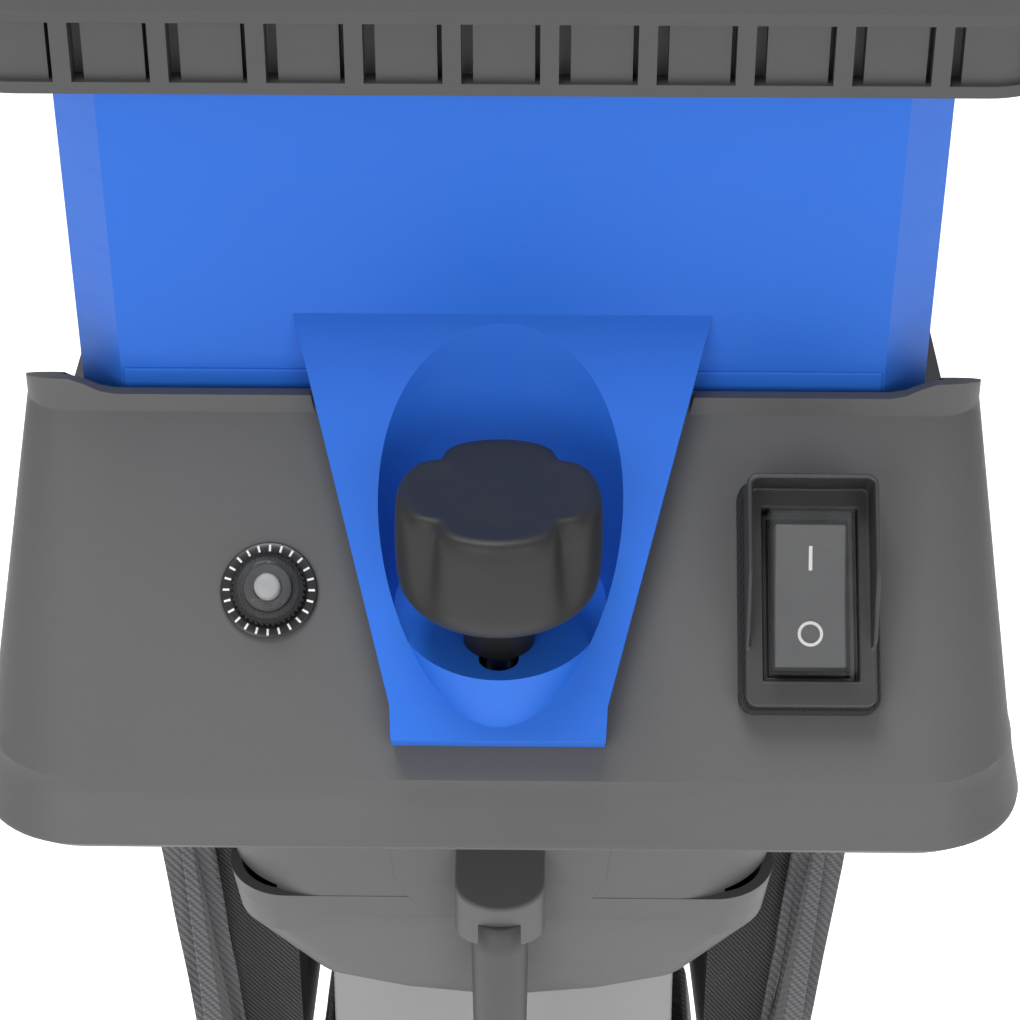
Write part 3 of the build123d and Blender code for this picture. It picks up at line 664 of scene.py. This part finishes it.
@dataclass(frozen=True)
class ToothRing:
    """Small blocks set evenly around a circle, made by Geometry Nodes."""

    count: int
    radius: float
    size: tuple[float, float, float]

    def make(self, place: Matrix, finish: Finish) -> bpy.types.Mesh:
        """Builds the ring.

        Args:
            place: Where the circle lies; its axis is the placement's Z.
            finish: The blocks' finish.

        Returns:
            A plain mesh, in place.
        """
        tree = bpy.data.node_groups.new("tooth_ring", "GeometryNodeTree")
        sockets = tree.interface
        sockets.new_socket("Geometry", in_out="OUTPUT", socket_type="NodeSocketGeometry")
        count = sockets.new_socket("Count", in_out="INPUT", socket_type="NodeSocketInt")
        radius = sockets.new_socket("Radius", in_out="INPUT", socket_type="NodeSocketFloat")
        size = sockets.new_socket("Size", in_out="INPUT", socket_type="NodeSocketVector")
        add, join = tree.nodes.new, tree.links.new
        given, result = add("NodeGroupInput"), add("NodeGroupOutput")
        circle = add("GeometryNodeMeshCircle")
        cube = add("GeometryNodeMeshCube")
        spread = add("GeometryNodeInstanceOnPoints")
        where = add("GeometryNodeInputPosition")
        turn = add("FunctionNodeAlignRotationToVector")
        realise, dress = add("GeometryNodeRealizeInstances"), add("GeometryNodeSetMaterial")
        turn.axis, turn.pivot_axis = "X", "Z"
        dress.inputs["Material"].default_value = finish.material()
        join(given.outputs["Count"], circle.inputs["Vertices"])
        join(given.outputs["Radius"], circle.inputs["Radius"])
        join(given.outputs["Size"], cube.inputs["Size"])
        join(circle.outputs["Mesh"], spread.inputs["Points"])
        join(cube.outputs["Mesh"], spread.inputs["Instance"])
        join(where.outputs["Position"], turn.inputs["Vector"])
        join(turn.outputs["Rotation"], spread.inputs["Rotation"])
        join(spread.outputs["Instances"], realise.inputs["Geometry"])
        join(realise.outputs["Geometry"], dress.inputs["Geometry"])
        join(dress.outputs["Geometry"], result.inputs["Geometry"])
        work = loose_object(bpy.data.meshes.new("ring_base"))
        modifier = work.modifiers.new("ring", "NODES")
        modifier.node_group = tree
        modifier[count.identifier] = self.count
        modifier[radius.identifier] = self.radius
        modifier[size.identifier] = self.size
        mesh = applied(work)
        mesh.transform(place)
        return mesh


# ---------------------------------------------------------------- sub-assemblies


@dataclass
class Studio:
    """Pale floor, soft light and the camera in front of the panel."""

    distance: float = 0.700
    elevation: float = math.radians(33)
    side_shift: float = 10.0 * MM
    aim_shift: float = 2.3 * MM
    sensor: float = 36.0
    lens: float = 96.353
    floor_half: float = 9.0
    floor_glow: float = 0.75
    world_glow: float = 0.5
    lamps: tuple[tuple[str, tuple[float, float, float], float, float], ...] = (
        ("left", (-0.9, -2.3, 1.7), 1.0, 17.0),
        ("right", (1.0, -2.3, 1.6), 1.0, 13.0),
        ("top", (-0.3, -0.1, 3.1), 1.1, 36.0),
    )

    def make(self) -> None:
        """Builds floor, world, lights and camera."""
        self._camera()
        self._floor()
        self._world()
        for name, place, size, power in self.lamps:
            self._light(name, place, size, power)

    def _camera(self) -> None:
        """Camera looking down at the middle of the panel."""
        data = bpy.data.cameras.new("camera")
        data.sensor_width = self.sensor
        data.lens = self.lens
        data.clip_start, data.clip_end = 0.01, 50.0
        camera = bpy.data.objects.new("camera", data)
        target = Vector((self.aim_shift, PANEL_Y, PANEL_Z))
        back = Vector((0, -math.cos(self.elevation), math.sin(self.elevation)))
        camera.location = Vector((self.side_shift, PANEL_Y, PANEL_Z)) + back * self.distance
        aim = (target - camera.location).to_track_quat("-Z", "Y")
        camera.rotation_euler = aim.to_euler()
        bpy.context.scene.collection.objects.link(camera)
        bpy.context.scene.camera = camera

    def _floor(self) -> None:
        """A wide pale floor with a gentle cloudiness."""
        work = bmesh.new()
        bmesh.ops.create_grid(work, x_segments=4, y_segments=4, size=self.floor_half)
        floor = bpy.data.objects.new("floor", to_mesh(work, "floor"))
        r = Recipe("pale_floor")
        r.feed(r.shader, "Base Color", r.tint((0.93, 0.93, 0.93), (0.97, 0.97, 0.97), r.grain(1.5)))
        r.feed(r.shader, "Roughness", 0.8)
        r.feed(r.shader, "Emission Color", (1.0, 1.0, 1.0, 1.0))
        r.feed(r.shader, "Emission Strength", self.floor_glow)
        floor.data.materials.append(r.material)
        bpy.context.scene.collection.objects.link(floor)

    def _world(self) -> None:
        """Even white surroundings."""
        scene = bpy.context.scene
        scene.view_settings.view_transform = "Standard"
        world = bpy.data.worlds.new("studio")
        world.use_nodes = True
        background = world.node_tree.nodes["Background"]
        background.inputs["Color"].default_value = WHITE
        background.inputs["Strength"].default_value = self.world_glow
        scene.world = world

    def _light(self, name: str, at: tuple[float, float, float], size: float, power: float) -> None:
        """One large soft lamp aimed at the panel."""
        data = bpy.data.lights.new(name, "AREA")
        data.size, data.energy = size, power
        lamp = bpy.data.objects.new(name, data)
        lamp.location = at
        aim = Vector((0, PANEL_Y, PANEL_Z)) - Vector(at)
        lamp.rotation_euler = aim.to_track_quat("-Z", "Y").to_euler()
        bpy.context.scene.collection.objects.link(lamp)


@dataclass
class SupplyLead:
    """Short lead that hangs from the gland and ends in a plug."""

    gland_y: float = PANEL_Y - 34 * MM
    gland_bottom: float = PANEL_Z - 116 * MM
    diameter: float = 9.5 * MM
    length: float = 0.3125
    route: tuple[tuple[float, float, float], ...] = (
        (0, 0, 8),
        (0, 0, -56),
        (3, -3, -124),
        (6, -2, -186),
        (4, 2, -246),
        (-1, 3, -304),
    )
    boss_half: float = 12 * MM
    boss_reach: float = 8 * MM
    boss_low: float = PANEL_Z - 113.6 * MM
    boss_high: float = PANEL_Z - 100 * MM
    boss_lift: float = 4.5 * MM
    boss_wall: float = PANEL_Y - 20.5 * MM
    boss_steps: int = 40
    sleeve_bore: float = 4.95
    sleeve: Outline = (
        (7.6, 10), (7.65, 0), (7.5, -16), (7.3, -30), (6.9, -36), (6.2, -40), (5.5, -42),
    )

    def make(self) -> None:
        """Builds gland, relief, lead and plug."""
        self._boss()
        self._relief()
        plug = soften("plug", 2.0 * MM, Finish.SOFT_BLACK)
        lead = self._lead()

    def _boss(self) -> None:
        """Half-round boss on the bowl, its top sloping up to the wall."""
        half, wall = self.boss_half, self.boss_wall
        turns = [math.pi * n / self.boss_steps for n in range(self.boss_steps + 1)]
        middle = self.gland_y + 2 * MM
        plan = [(half * math.cos(a), middle - self.boss_reach * math.sin(a)) for a in turns]
        plan = [(half, wall), *plan, (-half, wall)]
        rings = []
        for share, inset in ((0.0, 0.97), (0.05, 1.0), (0.5, 1.0), (0.95, 1.0), (1.0, 0.97)):
            ring = []
            for x, y in plan:
                slant = self.boss_lift * (y - self.gland_y + 6 * MM) / half
                rise = self.boss_low + (self.boss_high - self.boss_low + slant) * share
                ring.append(Vector((x * inset, wall + (y - wall) * inset, rise)))
            rings.append(ring)
        mesh = rounded(to_mesh(skin(rings), "cord_boss"), 0.5 * MM)
        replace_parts(add_piece("cord_boss", mesh, "base", Finish.GREY_SHELL), "cord_gland")

    def _relief(self) -> None:
        """Smooth sleeve that narrows at its lower end."""
        top, foot = self.sleeve[0][1], self.sleeve[-1][1]
        inner_top = (self.sleeve_bore, top)
        outline = (inner_top, *self.sleeve, (self.sleeve_bore, foot), inner_top)
        place = Matrix.Translation((0, self.gland_y, self.gland_bottom))
        mesh = turned(outline, place, "bend_relief_sleeve", 64)
        made = add_piece("bend_relief_sleeve", mesh, "base", Finish.CORD_SHEATH)
        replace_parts(made, "bend_relief")

    def _lead(self) -> bpy.types.Object:
        """The lead itself, a smooth spline through its listed route."""
        curve = bpy.data.curves.new("lead_curve", "CURVE")
        curve.dimensions = "3D"
        curve.bevel_depth = self.diameter / 2
        curve.bevel_resolution = 8
        curve.resolution_u = 16
        curve.use_fill_caps = True
        spline = curve.splines.new("NURBS")
        spline.points.add(len(self.route) - 1)
        for point, (x, y, z) in zip(spline.points, self.route):
            point.co = (x * MM, self.gland_y + y * MM, self.gland_bottom + z * MM, 1.0)
        spline.order_u = 3
        spline.use_endpoint_u = True
        curve.materials.append(Finish.CORD_SHEATH.material())
        lead = bpy.data.objects.new("supply_lead", curve)
        bpy.context.scene.collection.objects.link(lead)
        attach(lead, "base")
        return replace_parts(lead, "cord")


@dataclass
class UpperHousing:
    """Black shell with the sloping panel, its base plate and screws."""

    edge: float = 2.2 * MM
    pad: Outline = ((32.5, 847), (28.5, 809), (22, 798.5), (14, 796.5))
    pad_front: float = PANEL_Y - 21.3 * MM
    pad_foot: float = 797 * MM
    pad_lean: float = 0.012

    def make(self) -> None:
        """Builds the shell, and the bowl, chute and motor cover under it."""
        soften("upper_housing", self.edge, Finish.BLACK_SHELL, segments=4)
        soften("base_plate", 0.8 * MM, Finish.BLACK_PLASTIC)
        soften("base_screws", 0.5 * MM, Finish.STEEL)
        soften("motor_housing", 2.0 * MM, Finish.GREY_SHELL)
        soften("discharge_chute", 0.8 * MM, Finish.CHUTE_SHELL)
        soften("motor_cover", 0.8 * MM, Finish.GREY_SHELL)
        self._bowl_pad()

    def _bowl_pad(self) -> None:
        """Shallow raised pad on the front of the bowl."""
        right = [(x * MM, z * MM) for x, z in self.pad]
        ring = right + [(-x, z) for x, z in reversed(right)]
        layers = []
        for proud, inset in ((-1.5, 1.0), (0.25, 1.0), (0.55, 0.985)):
            front = self.pad_front - proud * MM
            wall = [(x, front - self.pad_lean * (z - self.pad_foot), z) for x, z in ring]
            layers.append([Vector((x * inset, y, z)) for x, y, z in wall])
        mesh = to_mesh(skin(layers), "bowl_pad", smooth=False)
        add_piece("bowl_front_pad", mesh, "base", Finish.GREY_SHELL)


@dataclass
class Hopper:
    """Blue hopper with its knob tongue, ribbed rim and rubber flap."""

    band_top: float = PANEL_Z + 26 * MM
    band_bottom: float = PANEL_Z + 19 * MM
    front: float = PANEL_Y + 27 * MM
    band_reach: tuple[float, float] = (44 * MM, 98.6 * MM)
    proud: float = 0.8 * MM

    def make(self) -> None:
        """Builds the hopper."""
        soften("hopper_body", 1.1 * MM, Finish.BLUE_SHELL)
        soften("hopper_rim", 0.7 * MM, Finish.RIM_SHELL)
        soften("feed_flap", 0.8 * MM, Finish.SOFT_BLACK)
        self._bands()

    def _bands(self) -> None:
        """Raised strips along the foot of the hopper's front, either side of the tongue."""
        work = bmesh.new()
        near, far = self.band_reach
        for side in (-1, 1):
            xs = sorted((side * near, side * far))
            made = bmesh.ops.create_cube(work, size=1.0)
            size = Vector((xs[1] - xs[0], self.proud * 2, self.band_top - self.band_bottom))
            centre = Vector(((xs[0] + xs[1]) / 2, self.front, (self.band_top + self.band_bottom) / 2))
            for vert in made["verts"]:
                vert.co = centre + Vector([a * b for a, b in zip(vert.co, size)])
        mesh = rounded(to_mesh(work, "foot_bands"), 0.6 * MM)
        add_piece("hopper_foot_bands", mesh, "hopper", Finish.BLUE_SHELL)


@dataclass
class LockKnob:
    """Knob with four finger grooves, and its washer."""

    bottom: float = PANEL_Z - 3.0 * MM
    radius: float = 25.4 * MM
    groove: float = 3.1 * MM
    groove_width: float = math.radians(10)
    grooves: int = 4
    steps: int = 192
    rows: tuple[tuple[float, float, float], ...] = (
        (8.9, -14.6, 0.0),
        (8.9, -1.0, 0.0),
        (10.0, 0.1, 0.0),
        (18.0, 0.2, 0.0),
        (21.0, 0.7, 0.0),
        (23.2, 2.2, 0.05),
        (24.6, 4.6, 0.12),
        (25.2, 8.0, 0.3),
        (25.4, 12.0, 0.55),
        (25.4, 18.0, 0.85),
        (25.2, 24.0, 1.0),
        (24.9, 27.2, 1.05),
        (24.2, 28.8, 1.05),
        (23.2, 29.6, 1.05),
        (21.6, 29.75, 1.0),
        (19.0, 29.4, 0.8),
        (12.0, 29.3, 0.0),
        (5.0, 29.3, 0.0),
    )

    def make(self) -> None:
        """Builds knob and washer."""
        rings = []
        for radius, rise, depth in self.rows:
            ring = []
            for n in range(self.steps):
                a = 2 * math.pi * n / self.steps
                r = radius * MM - self.groove * depth * self._groove_at(a)
                ring.append(Vector((r * math.cos(a), KNOB_Y + r * math.sin(a), self.bottom + rise * MM)))
            rings.append(ring)
        mesh = to_mesh(skin(rings), "lock_knob")
        knob = add_piece("lock_knob_lobed", mesh, "knob", Finish.KNOB_BLACK)
        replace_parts(knob, "lock_knob")
        soften("knob_washer", 0.4 * MM, Finish.BLACK_PLASTIC)

    def _groove_at(self, angle: float) -> float:
        """Share of the groove's depth at an angle, 1 in the middle of a groove."""
        pitch = 2 * math.pi / self.grooves
        off = angle % pitch - pitch / 2
        return math.exp(-((off / self.groove_width) ** 2))


@dataclass
class RockerSwitch:
    """Switch with knurled gasket, hooded bezel, marked rocker and clear cover."""

    across: float = 78 * MM
    up: float = -23 * MM
    pivot_out: float = 6 * MM
    tilt: float = math.radians(9)
    dish: float = math.atan2(1.9, 18.0)
    mark_up: float = 9.5 * MM
    mark_out: float = 3.72 * MM
    bar: tuple[float, float, float] = (0.9 * MM, 6.2 * MM, 0.2 * MM)
    ring: Outline = ((2.4, -0.1), (3.2, -0.1), (3.2, 0.1), (2.4, 0.1), (2.4, -0.1))

    def make(self) -> None:
        """Builds the switch."""
        soften("switch_gasket", 0.5 * MM, Finish.GASKET)
        soften("switch_bezel", 0.8 * MM, Finish.BLACK_PLASTIC)
        soften("switch_body", 0.4 * MM, Finish.BLACK_PLASTIC)
        soften("switch_rocker", 0.7 * MM, Finish.ROCKER_GREY)
        soften("switch_cover", 1.2 * MM, Finish.CLEAR)
        self._marks()

    def _marks(self) -> None:
        """The bar and the ring on the rocker."""
        pivot = panel_place(self.across, self.up, self.pivot_out) @ Matrix.Rotation(self.tilt, 4, "X")
        up = Matrix.Translation((0, self.mark_up, self.mark_out)) @ Matrix.Rotation(self.dish, 4, "X")
        down = Matrix.Translation((0, -self.mark_up, self.mark_out)) @ Matrix.Rotation(-self.dish, 4, "X")
        bar_place, ring_place = pivot @ up, pivot @ down
        work = bmesh.new()
        made = bmesh.ops.create_cube(work, size=1.0)
        for vert in made["verts"]:
            vert.co = bar_place @ Vector([a * b for a, b in zip(vert.co, self.bar)])
        bar = rounded(to_mesh(work, "mark_bar"), 0.08 * MM)
        add_piece("rocker_mark_bar", bar, "rocker", Finish.LABEL_INK)
        ring = turned(self.ring, ring_place, "mark_ring", 64)
        add_piece("rocker_mark_ring", ring, "rocker", Finish.LABEL_INK)


@dataclass
class Breaker:
    """Circuit breaker: label ring with ticks, knurled nut, button and clear cap."""

    across: float = -58.9 * MM
    up: float = -21.5 * MM
    ticks: int = 24
    tick_circle: float = 10.9 * MM
    tick_size: tuple[float, float, float] = (1.7 * MM, 0.55 * MM, 0.12 * MM)
    tick_out: float = 1.14 * MM
    knurls: int = 40
    knurl_circle: float = 9.05 * MM
    knurl_size: tuple[float, float, float] = (0.7 * MM, 0.7 * MM, 1.9 * MM)
    knurl_out: float = 2.4 * MM
    label: Outline = ((6.3, 0.4), (12.2, 0.4), (12.4, 0.6), (12.4, 0.95), (12.1, 1.1), (6.3, 1.1), (6.3, 0.4))
    nut: Outline = ((6.3, 1.2), (8.7, 1.2), (9.0, 1.5), (9.0, 3.2), (8.7, 3.6), (6.3, 3.6), (6.3, 1.2))
    button: Outline = ((0.01, -5), (3.3, -5), (3.3, 6.6), (3.0, 7.3), (2.2, 7.5), (0.01, 7.5))
    cap: Outline = (
        (6.7, 3.7), (7.9, 3.7), (8.0, 4.4), (7.3, 5.0), (7.1, 9.6), (6.5, 11.2), (5.2, 12.0), (4.4, 11.9),
        (4.1, 11.2), (0.05, 11.1), (0.05, 10.5), (4.5, 10.6), (5.6, 10.9), (6.2, 9.2), (6.5, 5.0), (6.7, 3.7),
    )

    def make(self) -> None:
        """Builds the breaker."""
        place = panel_place(self.across, self.up, 0)
        soften("breaker_body", 0.4 * MM, Finish.BLACK_PLASTIC)
        self._turned("breaker_label", self.label, "base", Finish.LABEL_BLACK, "breaker_ring")
        ticks = ToothRing(self.ticks, self.tick_circle, self.tick_size).make(
            place @ Matrix.Translation((0, 0, self.tick_out)), Finish.LABEL_INK
        )
        add_piece("breaker_ticks", ticks, "base", Finish.LABEL_INK)
        self._turned("breaker_nut_core", self.nut, "base", Finish.NUT, "breaker_nut")
        knurls = ToothRing(self.knurls, self.knurl_circle, self.knurl_size).make(
            place @ Matrix.Translation((0, 0, self.knurl_out)), Finish.NUT
        )
        add_piece("breaker_nut_knurls", knurls, "base", Finish.NUT)
        white = Finish.BUTTON_WHITE
        self._turned("reset_button_tip", self.button, "reset", white, "reset_button")
        self._turned("reset_cap_dome", self.cap, "base", Finish.CLEAR, "reset_cap")

    def _turned(self, name: str, profile: Outline, body: str, finish: Finish, node: str) -> None:
        """Adds one turned piece that stands for a frame node.

        Args:
            name: The piece's name.
            profile: Radius and distance out of the panel, in millimetres.
            body: The body that it rides on.
            finish: Its finish.
            node: The frame node.
        """
        mesh = turned(profile, panel_place(self.across, self.up, 0), name)
        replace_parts(add_piece(name, mesh, body, finish), node)


@dataclass
class CollectionBag:
    """Twill bag that hangs under the chute on straps.

    Its rows give height, half width, front and rear in millimetres; its outlines give x and z.
    """

    rows: tuple[tuple[float, float, float, float], ...] = (
        (163, 108, -118, 90),
        (176, 115, -125, 97),
        (300, 110, -130, 90),
        (400, 96, -128, 72),
        (470, 86, -114, 58),
        (560, 73, -104, 45),
        (600, 66, -101, 40),
        (632, 62, -100, 36),
    )
    corner: float = 16 * MM
    cloth: float = 0.9 * MM
    levels: int = 90
    per_corner: int = 22
    fold_depth: float = 3.0 * MM
    fold_scale: tuple[float, float, float] = (22, 22, 4)
    crease_depth: float = 2.4 * MM
    crease_scale: tuple[float, float, float] = (9, 9, 16)
    pinch_depth: float = 3.5 * MM
    # Outline of the near-black sheet that paints the shade under the housing beside the chute.
    shade_sheet: Outline = (
        (95, 834), (80, 834), (77, 800), (64, 782), (60.5, 762), (60.5, 700), (66, 655), (74, 655), (86, 720),
    )
    shade_sheet_y: float = -94.5
    edging: Outline = (
        (99, 834), (87, 834), (86, 800), (82, 740), (64, 640), (70, 636), (92, 720), (98.5, 792),
    )
    edging_y: float = -97.5
    ripple_depth: float = 2.2 * MM
    hem: Outline = ((-1.0, -26), (0.7, -25), (0.9, -14), (0.8, -2), (0.0, 0.6), (-1.4, 0.0), (-1.6, -24))

    def make(self) -> None:
        """Builds bag, hem, near-black sheets of painted shade beside the chute, straps and hooks."""
        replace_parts(self._shell(), "collection_bag")
        self._hem()
        self._skirts()
        soften("bag_straps", 0.5 * MM, Finish.BAG_FABRIC)
        soften("bag_hooks", 1.0 * MM, Finish.BLACK_PLASTIC)

    def _outline(self, z: float) -> tuple[float, float, float]:
        """Half width, front and rear of the bag at a height in millimetres."""
        for low, high in zip(self.rows, self.rows[1:]):
            if z <= high[0]:
                t = (z - low[0]) / (high[0] - low[0])
                return tuple(a + (b - a) * t for a, b in zip(low[1:], high[1:]))
        return self.rows[-1][1:]

    def _shell(self) -> bpy.types.Object:
        """The sagging cloth."""
        low, high = self.rows[0][0], self.rows[-1][0]
        rings = []
        for level in range(self.levels + 1):
            z = low + (high - low) * level / self.levels
            half, front, rear = (v * MM for v in self._outline(z))
            ring = rounded_ring(half, front, rear, self.corner, z * MM, self.per_corner)
            middle = Vector((0, (front + rear) / 2, z * MM))
            rings.append([self._sag(p, middle, level / self.levels) for p in ring])
        cloth = loose_object(to_mesh(skin(rings, True, False), "bag_cloth"))
        thick = cloth.modifiers.new("cloth", "SOLIDIFY")
        thick.thickness, thick.offset = self.cloth, 0.0
        return add_piece("bag_cloth", applied(cloth), "base", Finish.BAG_FABRIC)

    def _sag(self, point: Vector, middle: Vector, rise: float) -> Vector:
        """Moves a point of the cloth in or out: folds near the top, a belly lower down."""
        outward = (point - middle).normalized()
        across, along, up = (p * k for p, k in zip(point, self.fold_scale))
        folds = noise.noise(Vector((across, along, up))) * self.fold_depth
        across, along, up = (p * k for p, k in zip(point, self.crease_scale))
        creases = noise.noise(Vector((across, along, up + 5))) * self.crease_depth
        pinch = -self.pinch_depth * math.sin(math.pi * min(1.0, rise * 1.4)) * abs(math.sin(point.z * 21))
        calm = min(1.0, rise * 12) * (1.0 - 0.5 * max(0.0, rise - 0.9) * 10)
        return point + outward * (folds + creases + pinch * 0.5) * calm

    def _skirts(self) -> None:
        """Near-black sheet of painted shade between each front strap and the bowl, where the housing casts
        its shadow, with a cloth edge.
        """
        for side in (-1, 1):
            name = "left" if side < 0 else "right"
            for part, ring, depth, finish in (
                ("shade_sheet", self.shade_sheet, self.shade_sheet_y, Finish.SHADE_SHEET),
                ("edge", self.edging, self.edging_y, Finish.BAG_FABRIC),
            ):
                mesh = self._curtain([(side * x, z) for x, z in ring], depth)
                add_piece(f"bag_{part}_{name}", mesh, "base", finish)

    def _curtain(self, ring: Sequence[tuple[float, float]], depth: float) -> bpy.types.Mesh:
        """A thin rippled sheet with a given outline.

        Args:
            ring: Its outline as x and z in millimetres.
            depth: Its y in millimetres.

        Returns:
            A closed mesh.
        """
        work = bmesh.new()
        corners = [work.verts.new((x * MM, depth * MM, z * MM)) for x, z in ring]
        work.faces.new(corners)
        bmesh.ops.triangulate(work, faces=work.faces)
        bmesh.ops.subdivide_edges(work, edges=work.edges, cuts=7, use_grid_fill=True)
        for vert in work.verts:
            ripple = noise.noise(Vector((vert.co.x * 60, 3.0, vert.co.z * 34)))
            vert.co.y += ripple * self.ripple_depth
        bmesh.ops.solidify(work, geom=work.faces[:], thickness=0.8 * MM)
        bmesh.ops.recalc_face_normals(work, faces=work.faces)
        return to_mesh(work, "curtain")

    def _hem(self) -> None:
        """Doubled band around the mouth, a little thicker than the cloth."""
        rings = []
        for out, rise in self.hem:
            z = self.rows[-1][0] + rise
            half, front, rear = self._outline(z)
            reach = ((half + out) * MM, (front - out) * MM, (rear + out) * MM)
            rings.append(rounded_ring(*reach, self.corner, z * MM, 16))
        work = skin([*rings, rings[0]], False, False)
        bmesh.ops.remove_doubles(work, verts=work.verts, dist=WELD)
        bmesh.ops.recalc_face_normals(work, faces=work.faces)
        add_piece("bag_hem", to_mesh(work, "bag_hem"), "base", Finish.BAG_FABRIC)


@dataclass
class Wheel:
    """A wheel with a ribbed tyre."""

    side: str
    centre: Vector
    treads: int = 44
    tread_circle: float = 73.9 * MM
    tread_size: tuple[float, float, float] = (2.0 * MM, 6.0 * MM, 13.0 * MM)
    tread_shift: float = 8.5 * MM
    tyre: Outline = (
        (56.2, -16), (60, -17.6), (66, -17.8), (71, -16.5), (73.4, -13.5), (74.0, -9), (74.2, 0),
        (74.0, 9), (73.4, 13.5), (71, 16.5), (66, 17.8), (60, 17.6), (56.2, 16), (56.2, -16),
    )

    def make(self) -> None:
        """Builds tyre, tread and hub."""
        place = Matrix.Translation(self.centre) @ Matrix.Rotation(math.pi / 2, 4, "Y")
        mesh = turned(self.tyre, place, f"{self.side}_tyre", 128)
        tyre = add_piece(f"{self.side}_tyre_carcass", mesh, f"{self.side}_wheel", Finish.TYRE)
        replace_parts(tyre, f"{self.side}_tyre")
        blocks = ToothRing(self.treads, self.tread_circle, self.tread_size)
        for name, way in (("inner", -1), ("outer", 1)):
            half_step = Matrix.Rotation(math.pi / self.treads if way > 0 else 0.0, 4, "Z")
            shift = Matrix.Translation((0, 0, way * self.tread_shift))
            tread = blocks.make(place @ half_step @ shift, Finish.TYRE)
            add_piece(f"{self.side}_tread_{name}", tread, f"{self.side}_wheel", Finish.TYRE)
        soften(f"{self.side}_wheel_hub", 1.0 * MM, Finish.BLACK_PLASTIC)


@dataclass
class Stand:
    """Tube stand with feet, crossbars, axle and wheels."""

    wheel_centre: tuple[float, float, float] = (206 * MM, 140 * MM, 75 * MM)

    def make(self) -> None:
        """Builds the stand."""
        for node in ("left_frame", "right_frame", "front_crossbar", "rear_crossbar"):
            dress_node(node, Finish.BLACK_TUBE)
        soften("frame_brackets", 0.8 * MM, Finish.BLACK_TUBE)
        soften("rubber_feet", 2.0 * MM, Finish.SOFT_BLACK)
        soften("axle_sockets", 2.0 * MM, Finish.BLACK_PLASTIC)
        soften("axle_caps", 1.5 * MM, Finish.BLACK_PLASTIC)
        for side, sign in (("left", -1), ("right", 1)):
            x, y, z = self.wheel_centre
            Wheel(side, Vector((sign * x, y, z))).make()


def dress_node(node: str, finish: Finish) -> None:
    """Gives a frame node its finish."""
    mesh = frame["nodes"][node].data
    mesh.materials.clear()
    mesh.materials.append(finish.material())


def dress_inner_parts() -> None:
    """Gives the working parts inside their finishes."""
    groups: dict[Finish, Iterable[str]] = {
        Finish.STEEL: (
            "hinge_pins", "lock_screw", "blade_disc", "blades", "blade_bolts", "spindle", "spindle_bearings",
            "drive_gear", "pinion", "motor_shaft", "wheel_axle", "plug_pins", "rotor", "stator",
        ),
        Finish.BRASS: ("lock_insert", "commutator"),
        Finish.CAST_ALLOY: ("spindle_carrier",),
        Finish.BLACK_PLASTIC: ("interlock_switch", "motor_fan", "bearing_bridge"),
    }
    for finish, names in groups.items():
        for name in names:
            dress_node(name, finish)


def main() -> None:
    """Builds the machine in order."""
    logging.basicConfig(level=logging.INFO, format="%(message)s")
    for assembly in (
        Studio, SupplyLead, UpperHousing, Hopper, LockKnob, RockerSwitch, Breaker, CollectionBag, Stand,
    ):
        assembly().make()
        log.info("finished %s", assembly.__name__)
    dress_inner_parts()


if __name__ == "__main__":
    main()
